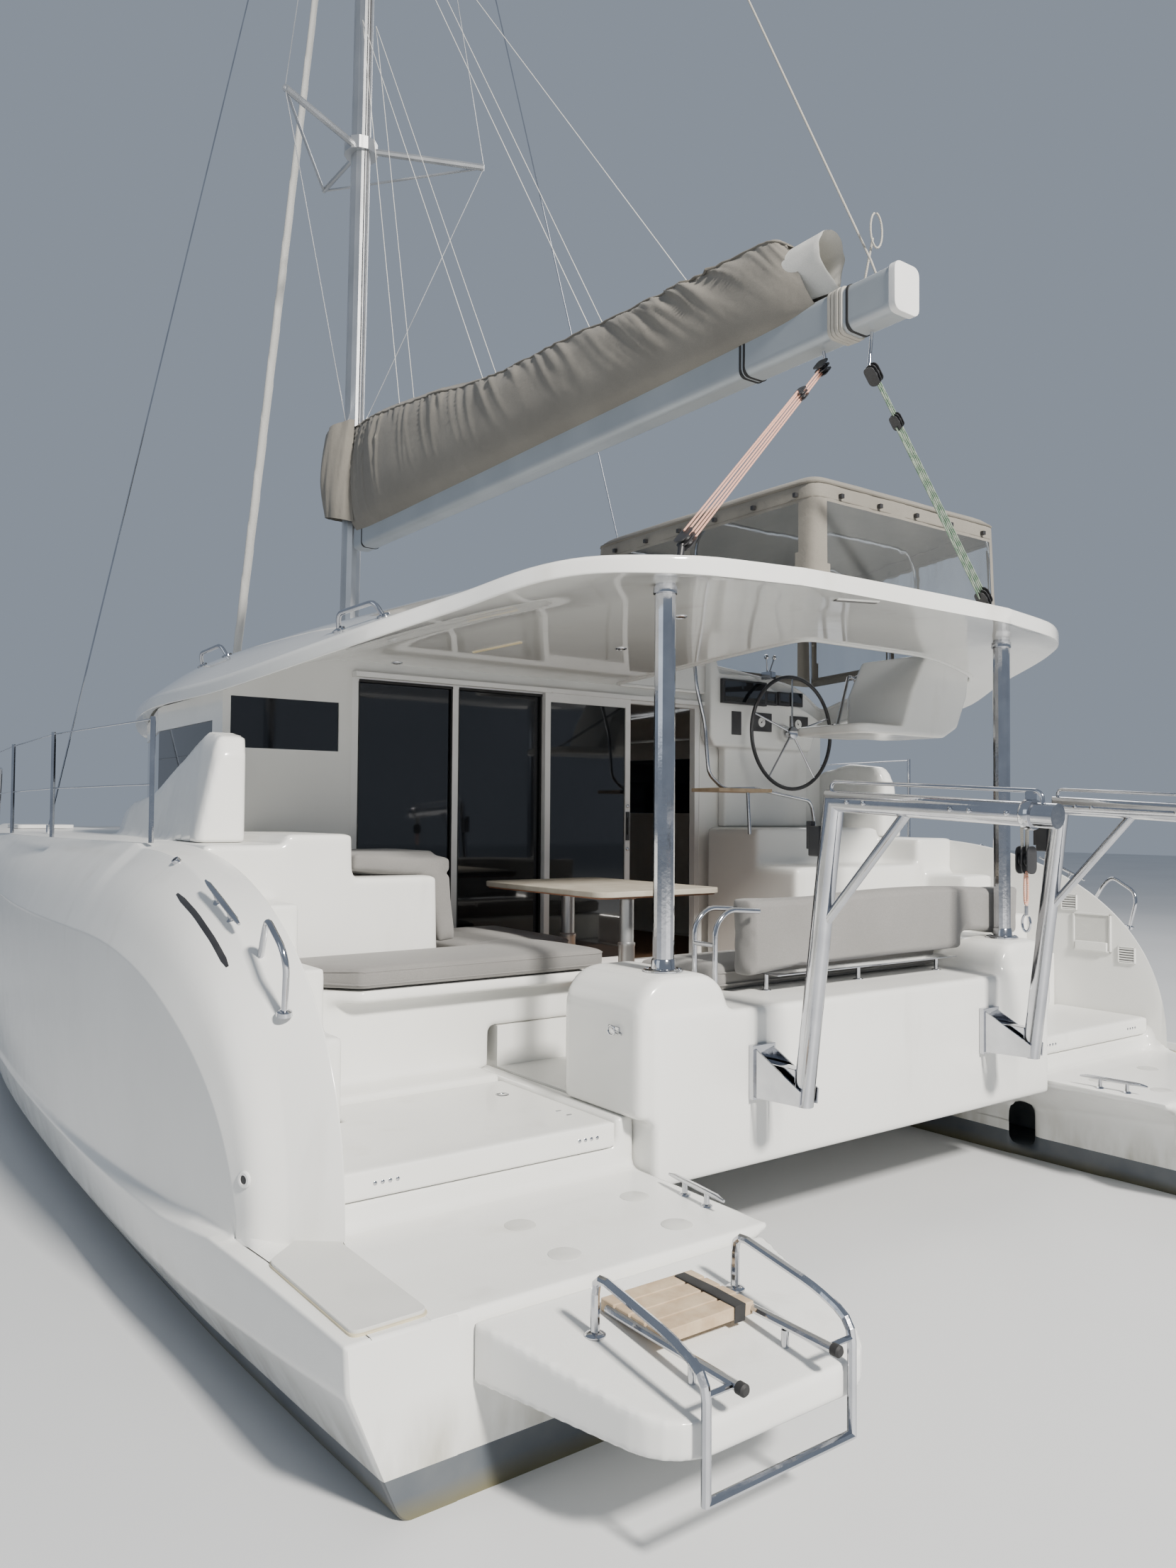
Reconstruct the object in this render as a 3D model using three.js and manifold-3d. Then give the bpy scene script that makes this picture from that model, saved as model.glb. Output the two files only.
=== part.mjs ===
// Cruising sailing catamaran with a hardtop cockpit, a raised helm and one mast.
// Millimetres. +X starboard, +Y forward, +Z up; origin amidships on the centreline at the waterline.
import * as THREE from "three";
import { mergeVertices } from "three/addons/utils/BufferGeometryUtils.js";
import Module from "manifold-3d";

const wasm = await Module();
wasm.setup();

// Driving dimensions

const GAP = 0.3; // running gap between touching pieces
const TRANSOM_Y = -5300;
const HULL_X = 2340; // centreline of each hull
const INNER_X = 1450; // inboard face of each hull, where the bridge deck starts
const SIDE_DECK_Z = 1880;
const STERN_DECK_Z = 547;
const BULWARK_X = 2820; // inside face of the quarter bulwark
// The bulwark's top falls from the side deck to the stern deck, and a wide band slopes from its ridge
// to the hull side.
const ARCH = { start: -2500, foot: -4620, top: 1881, ridgeX: 2965, power: 2.4 };
const BAND = { x: 3215, foot: -4380, top: 1470, fadeY: -1500 };
const LOCKER = { aft: -4500, front: -3600, top: 750, under: 640, inner: 1560 };
const BAY = { x0: 1680, x1: 2700, y0: -4380, y1: -3640, floor: 60 }; // engine bay under the locker lid
const BOW_LOCKER = { x0: 2130, x1: 2530, y0: 3440, y1: 3960, floor: 1450 };
const FLOOR_Z = 964; // cockpit and saloon sole
const PASSAGE = { inner: 950, front: -3380, z: 760 }; // lower floor where one steps in from the port stern
const TUNNEL_Z = 640; // underside of the bridge deck
const DECK_FRONT_Y = 3000;
const COCKPIT_AFT_Y = -4050;
const BULKHEAD = { y: -2030, x: 2430 };
const BEAM = { aft: -4640, top: 1180, bottom: 480, seatFront: -3690, seatPort: -840 };
const POD = { aft: -4620, front: -4050, top: 1350, outer: 1520, inner: 1010, round: 170 };
const POLE = { x: 1265, y: -4460, radius: 47 };
const BENCH = { inner: 950, seatInner: 720, starboardInner: 1130, aft: -3380, front: -2095, top: 1220 };
const STEP_X = 2490; // inboard side of the steps beside the bulwark
const BACK_BLOCK = { foot: 1580, lean: 20, high: 2070, outer: 2421, aft: -3000, ledge: 1710, top: 1930 };
const CUSHION = 120;
const BACKREST = { x0: -690, x1: 1545, y0: -4400, y1: -4250, bottom: 1270, top: 1660 };
const TABLE = { x0: -1000, x1: -150, y0: -3650, y1: -2450, top: 1635, thick: 35, leg: 45 };
const TABLE_LEG_Y = [-3320, -2750];
const DOOR = { x0: -1658, x1: 1117, top: 2881, stile: 42 };
const PANEL_X = [-1616, -950, -270, 410, 1075];
const HELM = { x: 1865, y: -2255, z: 2677, radius: 430, rim: 14, bossY: -2205, consoleY: -2150 };
const HELM_FLOOR = { aft: -2620, top: 1955, stepAft: -3000, step: 1690 };
const HELM_WELL = { inner: 280, outerAft: 1880, outerFront: 2365, aft: -3860, front: -2080 };
const WELL_LIP = { wide: 12, top: 3235 };
const BIMINI = {
  x0: 190,
  x1: 1960,
  y0: -4010,
  y1: -1900,
  flare: 500,
  round: 90,
  foot: 2740,
  eave: 3860,
  shoulder: 3920,
  top: 4000,
  skin: 14,
};
const MAST = { y: 1790, foot: 2960, head: 17300, headY: 1400, long: 260, wide: 165 };
const BOOM = { z: 4630, pinY: 1545, front: 1490, aft: -4750, wide: 180, deep: 240, pin: 14, eye: 15 };
const HOUNDS_Z = 14800;
const SPREADER = { z: 8440, tipX: 1000, tipY: 1000, tipZ: 8320 };
const DIAMOND_FOOT_Z = 5750; // clear of the sail cover as the boom swings
const CHAINPLATE = { x: 2900, y: 200 };
const FORESTAY = { y: 5560, z: 2150 };
const BOW_BEAM = { y: 5000, z: 1800, radius: 75 };
const RAIL_HEIGHT = 655;
const PLATFORM = {
  aft: -6010,
  rootOuter: 2710,
  tipOuter: 2520,
  rootInner: 1500,
  tipInner: 1720,
  rootTop: 515,
  top: 430,
  thick: 100,
};
const LADDER = { pivotY: -6030, pivotZ: 515, x: 2145, rail: 185, hoop: 285, length: 560, tube: 14 };
const DAVIT = {
  x: 850,
  footY: -4900,
  foot: 800,
  kneeY: -5070,
  kneeZ: 2100,
  armY: -6080,
  armZ: 2040,
  radius: 45,
};
const RUDDER = { y: -4480, chord: 430, top: -278, bottom: -1060, stock: 28, bore: 28.6, head: -140 };
const DRIVE = { y: -3900, top: -330, bottom: -800, pod: 70, hub: 260 };
const KEEL = { front: 1350, aft: -850, tip: -1250, half: 110 };
const ABOVE = 2400; // top of the shapes that cut away from above

// Geometry helpers

const V = (x, y, z) => new THREE.Vector3(x, y, z);

// Turns a closed geometry into a solid whose faces point outwards.
function solid(geometry) {
  const bare = geometry.clone();
  bare.deleteAttribute("normal");
  bare.deleteAttribute("uv");
  const merged = mergeVertices(bare, 1e-3);
  const at = merged.attributes.position;
  const corners = [];
  let volume = 0;
  const [a, b, c] = [V(0, 0, 0), V(0, 0, 0), V(0, 0, 0)];
  for (let i = 0; i < merged.index.count; i += 3) {
    const ids = [0, 1, 2].map((k) => merged.index.getX(i + k));
    if (ids[0] === ids[1] || ids[1] === ids[2] || ids[2] === ids[0]) continue;
    corners.push(ids);
    a.fromBufferAttribute(at, ids[0]);
    b.fromBufferAttribute(at, ids[1]);
    c.fromBufferAttribute(at, ids[2]);
    volume += a.dot(b.cross(c));
  }
  const turned = volume < 0 ? corners.map(([p, q, r]) => [p, r, q]) : corners;
  const vertProperties = new Float32Array(at.array);
  const triVerts = new Uint32Array(turned.flat());
  return new wasm.Manifold(new wasm.Mesh({ numProp: 3, vertProperties, triVerts }));
}

function box(x0, x1, y0, y1, z0, z1) {
  const g = new THREE.BoxGeometry(x1 - x0, y1 - y0, z1 - z0);
  return g.translate((x0 + x1) / 2, (y0 + y1) / 2, (z0 + z1) / 2);
}

// An outline pushed along an axis: [y, z] points along x, [x, z] points along y, [x, y] points along z.
function prism(points, axis, from, to, bevel = 0) {
  const outline = (list) => new THREE.Shape(list.map(([u, v]) => new THREE.Vector2(u, v)));
  const shape = points instanceof THREE.Shape ? points : outline(points);
  const settings = {
    depth: to - from - 2 * bevel,
    curveSegments: 5,
    bevelEnabled: bevel > 0,
    bevelThickness: bevel,
    bevelSize: bevel,
    bevelOffset: -bevel,
    bevelSegments: 2,
  };
  const g = new THREE.ExtrudeGeometry(shape, settings).translate(0, 0, from + bevel);
  const turn = new THREE.Matrix4();
  if (axis === "x") turn.makeBasis(V(0, 1, 0), V(0, 0, 1), V(1, 0, 0));
  if (axis === "y") turn.makeBasis(V(1, 0, 0), V(0, 0, 1), V(0, 1, 0));
  return g.applyMatrix4(turn);
}

// A closed skin over rings with the same number of points, capped at both ends.
function loft(rings) {
  const n = rings[0].length;
  const points = rings.flat();
  const faces = [];
  for (let r = 0; r < rings.length - 1; r++)
    for (let i = 0; i < n; i++) {
      const [p, q] = [r * n + i, r * n + ((i + 1) % n)];
      faces.push(p, q, q + n, p, q + n, p + n);
    }
  for (const [ring, start] of [[rings[0], 0], [rings.at(-1), (rings.length - 1) * n]]) {
    const flat = flatten(ring);
    for (const tri of THREE.ShapeUtils.triangulateShape(flat, [])) {
      const ids = tri.map((k) => k + start);
      faces.push(...(start ? ids : ids.reverse()));
    }
  }
  const g = new THREE.BufferGeometry();
  g.setAttribute("position", new THREE.Float32BufferAttribute(points.flat(), 3));
  g.setIndex(faces);
  return g;
}

// A ring seen along its own normal, for its cap.
function flatten(ring) {
  const at = ring.map((p) => V(...p));
  const normal = V(0, 0, 0);
  at.forEach((p, i) => normal.add(p.clone().cross(at[(i + 1) % at.length])));
  normal.normalize();
  const u = Math.abs(normal.z) < 0.9 ? V(0, 0, 1).cross(normal).normalize() : V(1, 0, 0);
  const v = normal.clone().cross(u);
  return at.map((p) => new THREE.Vector2(p.dot(u), p.dot(v)));
}

// A path that is sampled exactly at its own points.
class Route extends THREE.Curve {
  constructor(points) {
    super();
    this.points = points;
  }
  getPoint(t) {
    const s = t * (this.points.length - 1);
    const i = Math.min(Math.floor(s), this.points.length - 2);
    return this.points[i].clone().lerp(this.points[i + 1], s - i);
  }
  getPointAt(u) {
    return this.getPoint(u);
  }
  getTangentAt(u) {
    const k = Math.round(u * (this.points.length - 1));
    const before = this.points[Math.max(k - 1, 0)];
    const here = this.points[k];
    const after = this.points[Math.min(k + 1, this.points.length - 1)];
    const into = here.clone().sub(before).normalize();
    return after.clone().sub(here).normalize().add(into).normalize();
  }
}

// The corners of a line of points rounded by a bend radius.
function bent(points, radius, steps = 3) {
  const at = points.map((p) => V(...p));
  const route = [at[0]];
  for (let i = 1; i < at.length - 1; i++) {
    const back = at[i - 1].clone().sub(at[i]);
    const on = at[i + 1].clone().sub(at[i]);
    const r = Math.min(radius, back.length() / 2.2, on.length() / 2.2);
    const start = at[i].clone().add(back.setLength(r));
    const end = at[i].clone().add(on.setLength(r));
    route.push(...new THREE.QuadraticBezierCurve3(start, at[i], end).getPoints(steps));
  }
  route.push(at.at(-1));
  return route;
}

function tube(points, radius, bend = 0, sides = 8) {
  const route = bend ? bent(points, bend) : points.map((p) => V(...p));
  const ring = [];
  for (let i = 0; i < sides; i++) {
    const angle = (2 * Math.PI * i) / sides;
    ring.push(new THREE.Vector2(radius * Math.cos(angle), radius * Math.sin(angle)));
  }
  const settings = { steps: route.length - 1, extrudePath: new Route(route), bevelEnabled: false };
  return new THREE.ExtrudeGeometry(new THREE.Shape(ring), settings);
}

const asSolid = (p) => (p.isBufferGeometry ? solid(p) : p);
const join = (...parts) => parts.map(asSolid).reduce((a, b) => a.add(b));
const cut = (whole, ...parts) => parts.map(asSolid).reduce((a, b) => a.subtract(b), asSolid(whole));
const mirrored = (geometry) => geometry.clone().scale(-1, 1, 1);

// The geometry of a solid, so that it can be mirrored.
function geometryOf(body) {
  const m = body.getMesh();
  const g = new THREE.BufferGeometry();
  g.setAttribute("position", new THREE.Float32BufferAttribute(Array.from(m.vertProperties), 3));
  g.setIndex(Array.from(m.triVerts));
  return g;
}

// Of a body that a cut has split, the piece that starts lowest.
const footOf = (body) => body.boundingBox().min[2];
const headOf = (body) => body.boundingBox().max[2];
const lowest = (body) => body.decompose().sort((a, b) => footOf(a) - footOf(b))[0];
// And the piece that ends highest.
const highest = (body) => body.decompose().sort((a, b) => headOf(b) - headOf(a))[0];

function roundedRect(x0, x1, y0, y1, r) {
  const s = new THREE.Shape();
  s.moveTo(x0 + r, y0).lineTo(x1 - r, y0).absarc(x1 - r, y0 + r, r, -Math.PI / 2, 0);
  s.lineTo(x1, y1 - r).absarc(x1 - r, y1 - r, r, 0, Math.PI / 2);
  s.lineTo(x0 + r, y1).absarc(x0 + r, y1 - r, r, Math.PI / 2, Math.PI);
  s.lineTo(x0, y0 + r).absarc(x0 + r, y0 + r, r, Math.PI, 1.5 * Math.PI);
  return s;
}

// Materials

const paint = (color, roughness = 0.35, metalness = 0) =>
  new THREE.MeshStandardMaterial({ color, roughness, metalness });
const GELCOAT = paint(0xf2f2ee, 0.2);
const ANTIFOUL = paint(0x4d5660, 0.7);
const STEEL = paint(0xc4c8cc, 0.12, 1);
const ALLOY = paint(0xb9bcbf, 0.35, 0.9);
const GLASS = paint(0x0a0d10, 0.05);
const CUSHION_CLOTH = paint(0x9d9a94, 0.9);
const COVER_CLOTH = paint(0x8e8a80, 0.9);
const TEAK = paint(0x9a7a58, 0.7);
const BLACK = paint(0x16171a, 0.5);
const BRONZE = paint(0x9c7a3c, 0.3, 1);
const ENGINE_GREY = paint(0x7c8286, 0.5, 0.4);
const NET = paint(0x30343a, 0.9);
const SAIL = paint(0xe8e6df, 0.8);

const boat = new THREE.Group();

function place(name, body, material) {
  const m = asSolid(body).getMesh();
  const positions = [];
  for (let i = 0; i < m.numVert; i++)
    for (let k = 0; k < 3; k++) positions.push(m.vertProperties[i * m.numProp + k]);
  const g = new THREE.BufferGeometry();
  g.setAttribute("position", new THREE.Float32BufferAttribute(positions, 3));
  g.setIndex(Array.from(m.triVerts));
  g.computeVertexNormals();
  const mesh = new THREE.Mesh(g, material);
  mesh.name = name;
  boat.add(mesh);
}

// Both sides of the boat: build(side) gives geometry with +X outboard, and side -1 mirrors it to port.
// Inboard of the locker lid each hull stands up to its ledge.
const SIDES = [
  { word: "port", side: -1, ledge: PASSAGE.z },
  { word: "starboard", side: 1, ledge: FLOOR_Z },
];
const toSide = (geometry, side) => (side < 0 ? mirrored(geometry) : geometry);
const bodyToSide = (body, side) => (side < 0 ? solid(mirrored(geometryOf(body))) : body);

// Saloon plan: outer wall line from the aft corner round the front, starboard half, [x, y]

const SALOON_HALF = [
  [BULKHEAD.x, BULKHEAD.y],
  [BULKHEAD.x - 10, -700],
  [2150, 600],
  [1750, 1550],
  [1150, 2120],
  [0, 2300],
];
const mirrorPlan = (half) => [...half, ...half.slice(0, -1).reverse().map(([x, y]) => [-x, y])];
const SALOON_PLAN = mirrorPlan(SALOON_HALF);

// The plan moved inwards by a distance; it runs anticlockwise.
function inset(plan, distance) {
  return plan.map((p, i) => {
    const before = plan[(i + plan.length - 1) % plan.length];
    const after = plan[(i + 1) % plan.length];
    const a = new THREE.Vector2(p[0] - before[0], p[1] - before[1]).normalize();
    const b = new THREE.Vector2(after[0] - p[0], after[1] - p[1]).normalize();
    const normal = new THREE.Vector2(-a.y - b.y, a.x + b.x);
    const scale = distance / (1 + a.dot(b));
    return [p[0] + normal.x * scale, p[1] + normal.y * scale];
  });
}

// Hulls

// Sections of the starboard hull: y, top z, top x, ledge width, knuckle x, knuckle z, chine x, chine z,
// waterline x, bilge x, bilge z, keel z
const HULL_SECTIONS = [
  [TRANSOM_Y, 1900, 3000, 75, 3120, 545, 3112, 400, 2940, 2760, -60, -120],
  [-4650, 1900, 3090, 65, 3150, 580, 3140, 330, 2980, 2800, -130, -230],
  [-3700, 1885, 3215, 40, 3210, 480, 3180, 260, 3020, 2850, -210, -350],
  [-2000, SIDE_DECK_Z, 3262, 5, 3240, 430, 3190, 210, 3040, 2860, -280, -470],
  [0, SIDE_DECK_Z, 3258, 0, 3205, 430, 3150, 210, 3000, 2820, -320, -550],
  [1800, 1875, 3190, 0, 3090, 480, 3010, 230, 2870, 2720, -320, -550],
  [3000, 1870, 3050, 0, 2930, 560, 2820, 260, 2690, 2600, -290, -510],
  [4200, 1875, 2840, 0, 2710, 650, 2600, 300, 2510, 2460, -210, -420],
  [5100, 1885, 2610, 0, 2500, 740, 2430, 340, 2400, 2385, -110, -250],
  [5560, 1895, 2450, 0, 2410, 780, 2380, 360, 2370, 2362, -50, -110],
  [5690, 1900, 2388, 0, 2368, 790, 2358, 380, 2352, 2350, -20, -45],
];
// The hull's inboard side forward of the bridge deck: y, x
const BOW_INNER = [
  [DECK_FRONT_Y, 1640],
  [4200, 1850],
  [5100, 2090],
  [5560, 2240],
  [5690, 2300],
];
const COLUMN = { topZ: 1, topX: 2 }; // of HULL_SECTIONS

// A column of a table at any y, smoothly between its rows.
function columnAt(table, y, column) {
  const found = table.findIndex((row) => row[0] >= y);
  const i = Math.max(1, found < 0 ? table.length - 1 : found);
  const [a, b] = [table[i - 1], table[i]];
  const slope = (p, q) => (q[column] - p[column]) / (q[0] - p[0]);
  const span = b[0] - a[0];
  const into = slope(table[Math.max(i - 2, 0)], b) * span;
  const out = slope(a, table[Math.min(i + 1, table.length - 1)]) * span;
  const t = (y - a[0]) / span;
  const [t2, t3] = [t * t, t * t * t];
  const ends = (2 * t3 - 3 * t2 + 1) * a[column] + (3 * t2 - 2 * t3) * b[column];
  return ends + (t3 - 2 * t2 + t) * into + (t3 - t2) * out;
}
const hullInnerAt = (y) => (y <= DECK_FRONT_Y ? INNER_X : columnAt(BOW_INNER, y, 1));

// Stations of the hull's rings: close together at the stern and the bow, and doubled where the bridge
// deck ends
const stations = (from, to, count) =>
  Array.from({ length: count }, (_, i) => from + ((to - from) * i) / count);
const HULL_STATIONS = [
  ...stations(TRANSOM_Y, -2400, 10),
  ...stations(-2400, DECK_FRONT_Y, 9),
  DECK_FRONT_Y,
  ...stations(DECK_FRONT_Y + 0.5, 5690, 9),
  5690,
];

const GUNWALE = { across: 150, corner: 45, drop: 30, depth: 130 };
function hullRing(y) {
  const row = HULL_SECTIONS[0].map((_, column) => columnAt(HULL_SECTIONS, y, column));
  const [, topZ, topX, ledge, knuckleX, knuckleZ, chineX, chineZ, lineX, bilgeX, bilgeZ, keelZ] = row;
  const across = (x) => 2 * HULL_X - x; // the same point on the hull's inboard side
  const innerX = hullInnerAt(y);
  const innerChine = Math.max(across(chineX) + 160, innerX);
  const round = Math.min(1, (topX - innerX) / 500);
  const shoulder = (topX + knuckleX - ledge) / 2 + 25;
  return [
    [topX - GUNWALE.across * round, y, topZ],
    [topX - GUNWALE.corner * round, y, topZ - GUNWALE.drop * round],
    [topX, y, topZ - GUNWALE.depth * round],
    [shoulder, y, (topZ + knuckleZ) / 2],
    [knuckleX - ledge, y, knuckleZ + 35],
    [knuckleX, y, knuckleZ],
    [chineX, y, chineZ],
    [lineX, y, 0],
    [(lineX + bilgeX) / 2 + 15, y, bilgeZ * 0.42],
    [bilgeX, y, bilgeZ],
    [HULL_X + (bilgeX - HULL_X) * 0.45, y, keelZ],
    [HULL_X - (bilgeX - HULL_X) * 0.45, y, keelZ],
    [across(bilgeX), y, bilgeZ],
    [across(lineX), y, 0],
    [Math.min(innerChine, HULL_X - 20), y, chineZ],
    [innerX, y, Math.min(STERN_DECK_Z - 20, topZ)],
    [innerX, y, topZ],
  ];
}

// The profile of the quarter bulwark at a distance x from the centreline, [y, z]. Outside the ridge it is
// lower and shorter, which makes the band; forward of it the band fades into the hull side.
function archProfile(x) {
  const t = Math.max(0, (x - ARCH.ridgeX) / (BAND.x - ARCH.ridgeX));
  const top = ARCH.top + (BAND.top - ARCH.top) * t;
  const foot = ARCH.foot + (BAND.foot - ARCH.foot) * t;
  const steps = 14;
  const points = [];
  for (let i = 0; i <= steps; i++) {
    const angle = (Math.PI / 2) * (i / steps);
    const along = Math.sin(angle) ** (2 / ARCH.power);
    const up = Math.cos(angle) ** (2 / ARCH.power);
    points.push([ARCH.start + (foot - ARCH.start) * along, STERN_DECK_Z + (top - STERN_DECK_Z) * up]);
  }
  const behind = TRANSOM_Y - 200;
  return [[BAND.fadeY, ABOVE], [BAND.fadeY, ARCH.top], ...points, [behind, STERN_DECK_Z], [behind, ABOVE]];
}

const archRing = (x) => archProfile(x).map(([y, z]) => [x, y, z]);
const archCut = loft([BULWARK_X - 220, ARCH.ridgeX, BAND.x, BAND.x + 185].map(archRing));
const INNER_LEDGE = LOCKER.inner - 8; // where the ledge inboard of the lid ends
const hullCuts = [
  archCut,
  box(1200, BULWARK_X, TRANSOM_Y - 200, LOCKER.aft, STERN_DECK_Z, ABOVE),
  box(INNER_LEDGE, BULWARK_X, LOCKER.aft - 1, BULKHEAD.y + 5, LOCKER.under - GAP, ABOVE),
  prism(inset(SALOON_PLAN, -GAP), "z", FLOOR_Z - GAP, ABOVE),
  box(BAY.x0, BAY.x1, BAY.y0, BAY.y1, BAY.floor, ABOVE),
  box(BOW_LOCKER.x0, BOW_LOCKER.x1, BOW_LOCKER.y0, BOW_LOCKER.y1, BOW_LOCKER.floor, ABOVE),
  tube([[HULL_X, RUDDER.y, -500], [HULL_X, RUDDER.y, RUDDER.head + 10]], RUDDER.bore, 0, 16),
];
const hullShell = loft(HULL_STATIONS.map(hullRing));

// The wing outboard of the coachroof: y, top z, inner x, top outer x, foot outer x
const FIN_SECTIONS = [
  [-2615, 2330, 2500, 2640, 2730],
  [-2560, 2425, 2480, 2640, 2745],
  [-2300, 2460, 2440, 2620, 2720],
  [-1700, 2310, 2400, 2590, 2660],
  [-1100, 2150, 2400, 2570, 2620],
  [-500, 2100, 2350, 2540, 2590],
  [-100, 2060, 2300, 2480, 2520],
];
const finRing = ([y, top, inner, outer, foot]) => [
  [inner, y, 1860],
  [foot, y, 1860],
  [outer, y, top - 60],
  [outer - 25, y, top],
  [inner, y, top],
];
const fin = cut(
  loft(FIN_SECTIONS.map(finRing)),
  prism(inset(SALOON_PLAN, -GAP), "z", FLOOR_Z, 3000),
  box(2000, 3000, -3000, BULKHEAD.y + 5, 1800, SIDE_DECK_Z + GAP),
);

const keelProfile = [
  [KEEL.aft, -300],
  [KEEL.aft + 250, KEEL.tip],
  [KEEL.front - 550, KEEL.tip],
  [KEEL.front, -300],
];
const hulls = SIDES.map(({ side, ledge }) => {
  const ledgeCut = box(1200, INNER_LEDGE + 1, LOCKER.aft - 1, BULKHEAD.y + 5, ledge, ABOVE);
  const whole = cut(join(hullShell, keelRings(keelProfile)), ...hullCuts, ledgeCut);
  return bodyToSide(join(whole, fin), side);
});
SIDES.forEach(({ word }, i) => place("hull_" + word, hulls[i], GELCOAT));

// A fin with pointed ends whose outline is given from root aft, tip aft, tip front, root front.
function keelRings([rootAft, tipAft, tipFront, rootFront]) {
  const section = ([aftY, z], [frontY], half) => [
    [HULL_X, aftY, z],
    [HULL_X + half, aftY + (frontY - aftY) * 0.55, z],
    [HULL_X + half * 0.8, aftY + (frontY - aftY) * 0.85, z],
    [HULL_X, frontY, z],
    [HULL_X - half * 0.8, aftY + (frontY - aftY) * 0.85, z],
    [HULL_X - half, aftY + (frontY - aftY) * 0.55, z],
  ];
  return loft([section(rootAft, rootFront, KEEL.half), section(tipAft, tipFront, KEEL.half * 0.75)]);
}

// Saildrive legs and propellers

function driveLeg() {
  const fin = (half, length, z, y) => [
    [HULL_X, y - length / 2, z],
    [HULL_X + half, y - length * 0.05, z],
    [HULL_X + half * 0.7, y + length * 0.35, z],
    [HULL_X, y + length / 2, z],
    [HULL_X - half * 0.7, y + length * 0.35, z],
    [HULL_X - half, y - length * 0.05, z],
  ];
  const leg = loft([fin(60, 330, DRIVE.top + 120, DRIVE.y), fin(45, 260, DRIVE.bottom + 60, DRIVE.y - 10)]);
  const pod = new THREE.SphereGeometry(1, 12, 8).scale(60, 190, 60);
  pod.translate(HULL_X, DRIVE.y, DRIVE.bottom + DRIVE.pod);
  return join(leg, pod);
}

function propeller() {
  const hub = [[0, -70], [38, -70], [46, 0], [46, 70], [0, 70]].map(([r, h]) => new THREE.Vector2(r, h));
  const parts = [new THREE.LatheGeometry(hub, 12)];
  for (let i = 0; i < 3; i++) {
    const blade = new THREE.SphereGeometry(1, 8, 6).scale(62, 7, 100).rotateZ(0.55).translate(0, 0, 105);
    parts.push(blade.rotateY((i * 2 * Math.PI) / 3));
  }
  const hubAt = [HULL_X, DRIVE.y - DRIVE.hub - GAP, DRIVE.bottom + DRIVE.pod];
  return join(...parts.map((g) => g.translate(...hubAt)));
}

const hullAbove = hullShell.clone().translate(0, 0, -GAP);
for (const { word, side } of SIDES) {
  place("saildrive_" + word, bodyToSide(cut(driveLeg(), hullAbove), side), ALLOY);
  place("propeller_" + word, bodyToSide(propeller(), side), BRONZE);
}

// Engines: one plain block in each bay, standing on its floor

for (const { word, side } of SIDES) {
  const block = box(HULL_X - 260, HULL_X + 260, BAY.y0 + 90, BAY.y1 - 90, BAY.floor + GAP, BAY.floor + 500);
  place("engine_" + word, toSide(block, side), ENGINE_GREY);
}

// Rudders

for (const { word, side } of SIDES) {
  const x = side * HULL_X;
  const foil = (half, chord, z, rake) => [
    [x, RUDDER.y - chord * 0.72 + rake, z],
    [x + half, RUDDER.y + chord * 0.05 + rake, z],
    [x, RUDDER.y + chord * 0.28 + rake, z],
    [x - half, RUDDER.y + chord * 0.05 + rake, z],
  ];
  const root = foil(30, RUDDER.chord, RUDDER.top - 12, 0);
  const tip = foil(20, RUDDER.chord * 0.7, RUDDER.bottom, 20);
  const blade = loft([root, tip]);
  const stock = tube([[x, RUDDER.y, RUDDER.head], [x, RUDDER.y, RUDDER.top - 200]], RUDDER.stock, 0, 16);
  place("rudder_" + word, join(blade, stock), ANTIFOUL);
}

// Swim platforms: the plan narrows aft and the top falls away from the transom

const PLATFORM_FACES = [
  [TRANSOM_Y - GAP, PLATFORM.rootTop],
  [PLATFORM.aft - 20, PLATFORM.top],
  [PLATFORM.aft - 20, PLATFORM.top - PLATFORM.thick],
  [TRANSOM_Y - GAP, PLATFORM.top - PLATFORM.thick],
];
function platformPlan() {
  const r = 150;
  const { aft, rootOuter, tipOuter, rootInner, tipInner } = PLATFORM;
  const plan = new THREE.Shape();
  plan.moveTo(rootOuter, TRANSOM_Y - GAP).lineTo(rootInner, TRANSOM_Y - GAP).lineTo(tipInner - 60, aft + r);
  plan.quadraticCurveTo(tipInner, aft + 10, tipInner + r, aft).lineTo(tipOuter - r, aft);
  plan.quadraticCurveTo(tipOuter, aft + 10, tipOuter + 40, aft + r);
  return plan;
}
const platformSide = solid(prism(PLATFORM_FACES, "x", INNER_X, HULL_X + 500));
const platform = solid(prism(platformPlan(), "z", 0, 1000)).intersect(platformSide);
for (const { word, side } of SIDES) place("swim_platform_" + word, bodyToSide(platform, side), GELCOAT);

// Bridge deck, with the cockpit sole, the saloon sole and the foredeck

const deckBox = box(-INNER_X + GAP, INNER_X - GAP, COCKPIT_AFT_Y, DECK_FRONT_Y, TUNNEL_Z, 1868);
const deckCuts = [
  box(-2000, 2000, -5000, BULKHEAD.y + 5, FLOOR_Z, ABOVE),
  box(-2000, -PASSAGE.inner, -5000, PASSAGE.front, PASSAGE.z, ABOVE),
  prism(inset(SALOON_PLAN, -GAP), "z", FLOOR_Z, ABOVE),
];
const tunnelRise = [
  [1200, TUNNEL_Z - 10],
  [DECK_FRONT_Y + 10, TUNNEL_Z - 10],
  [DECK_FRONT_Y + 10, 900],
];
place("bridge_deck", cut(deckBox, ...deckCuts, prism(tunnelRise, "x", -1500, 1500)), GELCOAT);

// Aft beam with the bench base and the two rounded pods that carry the poles

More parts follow.
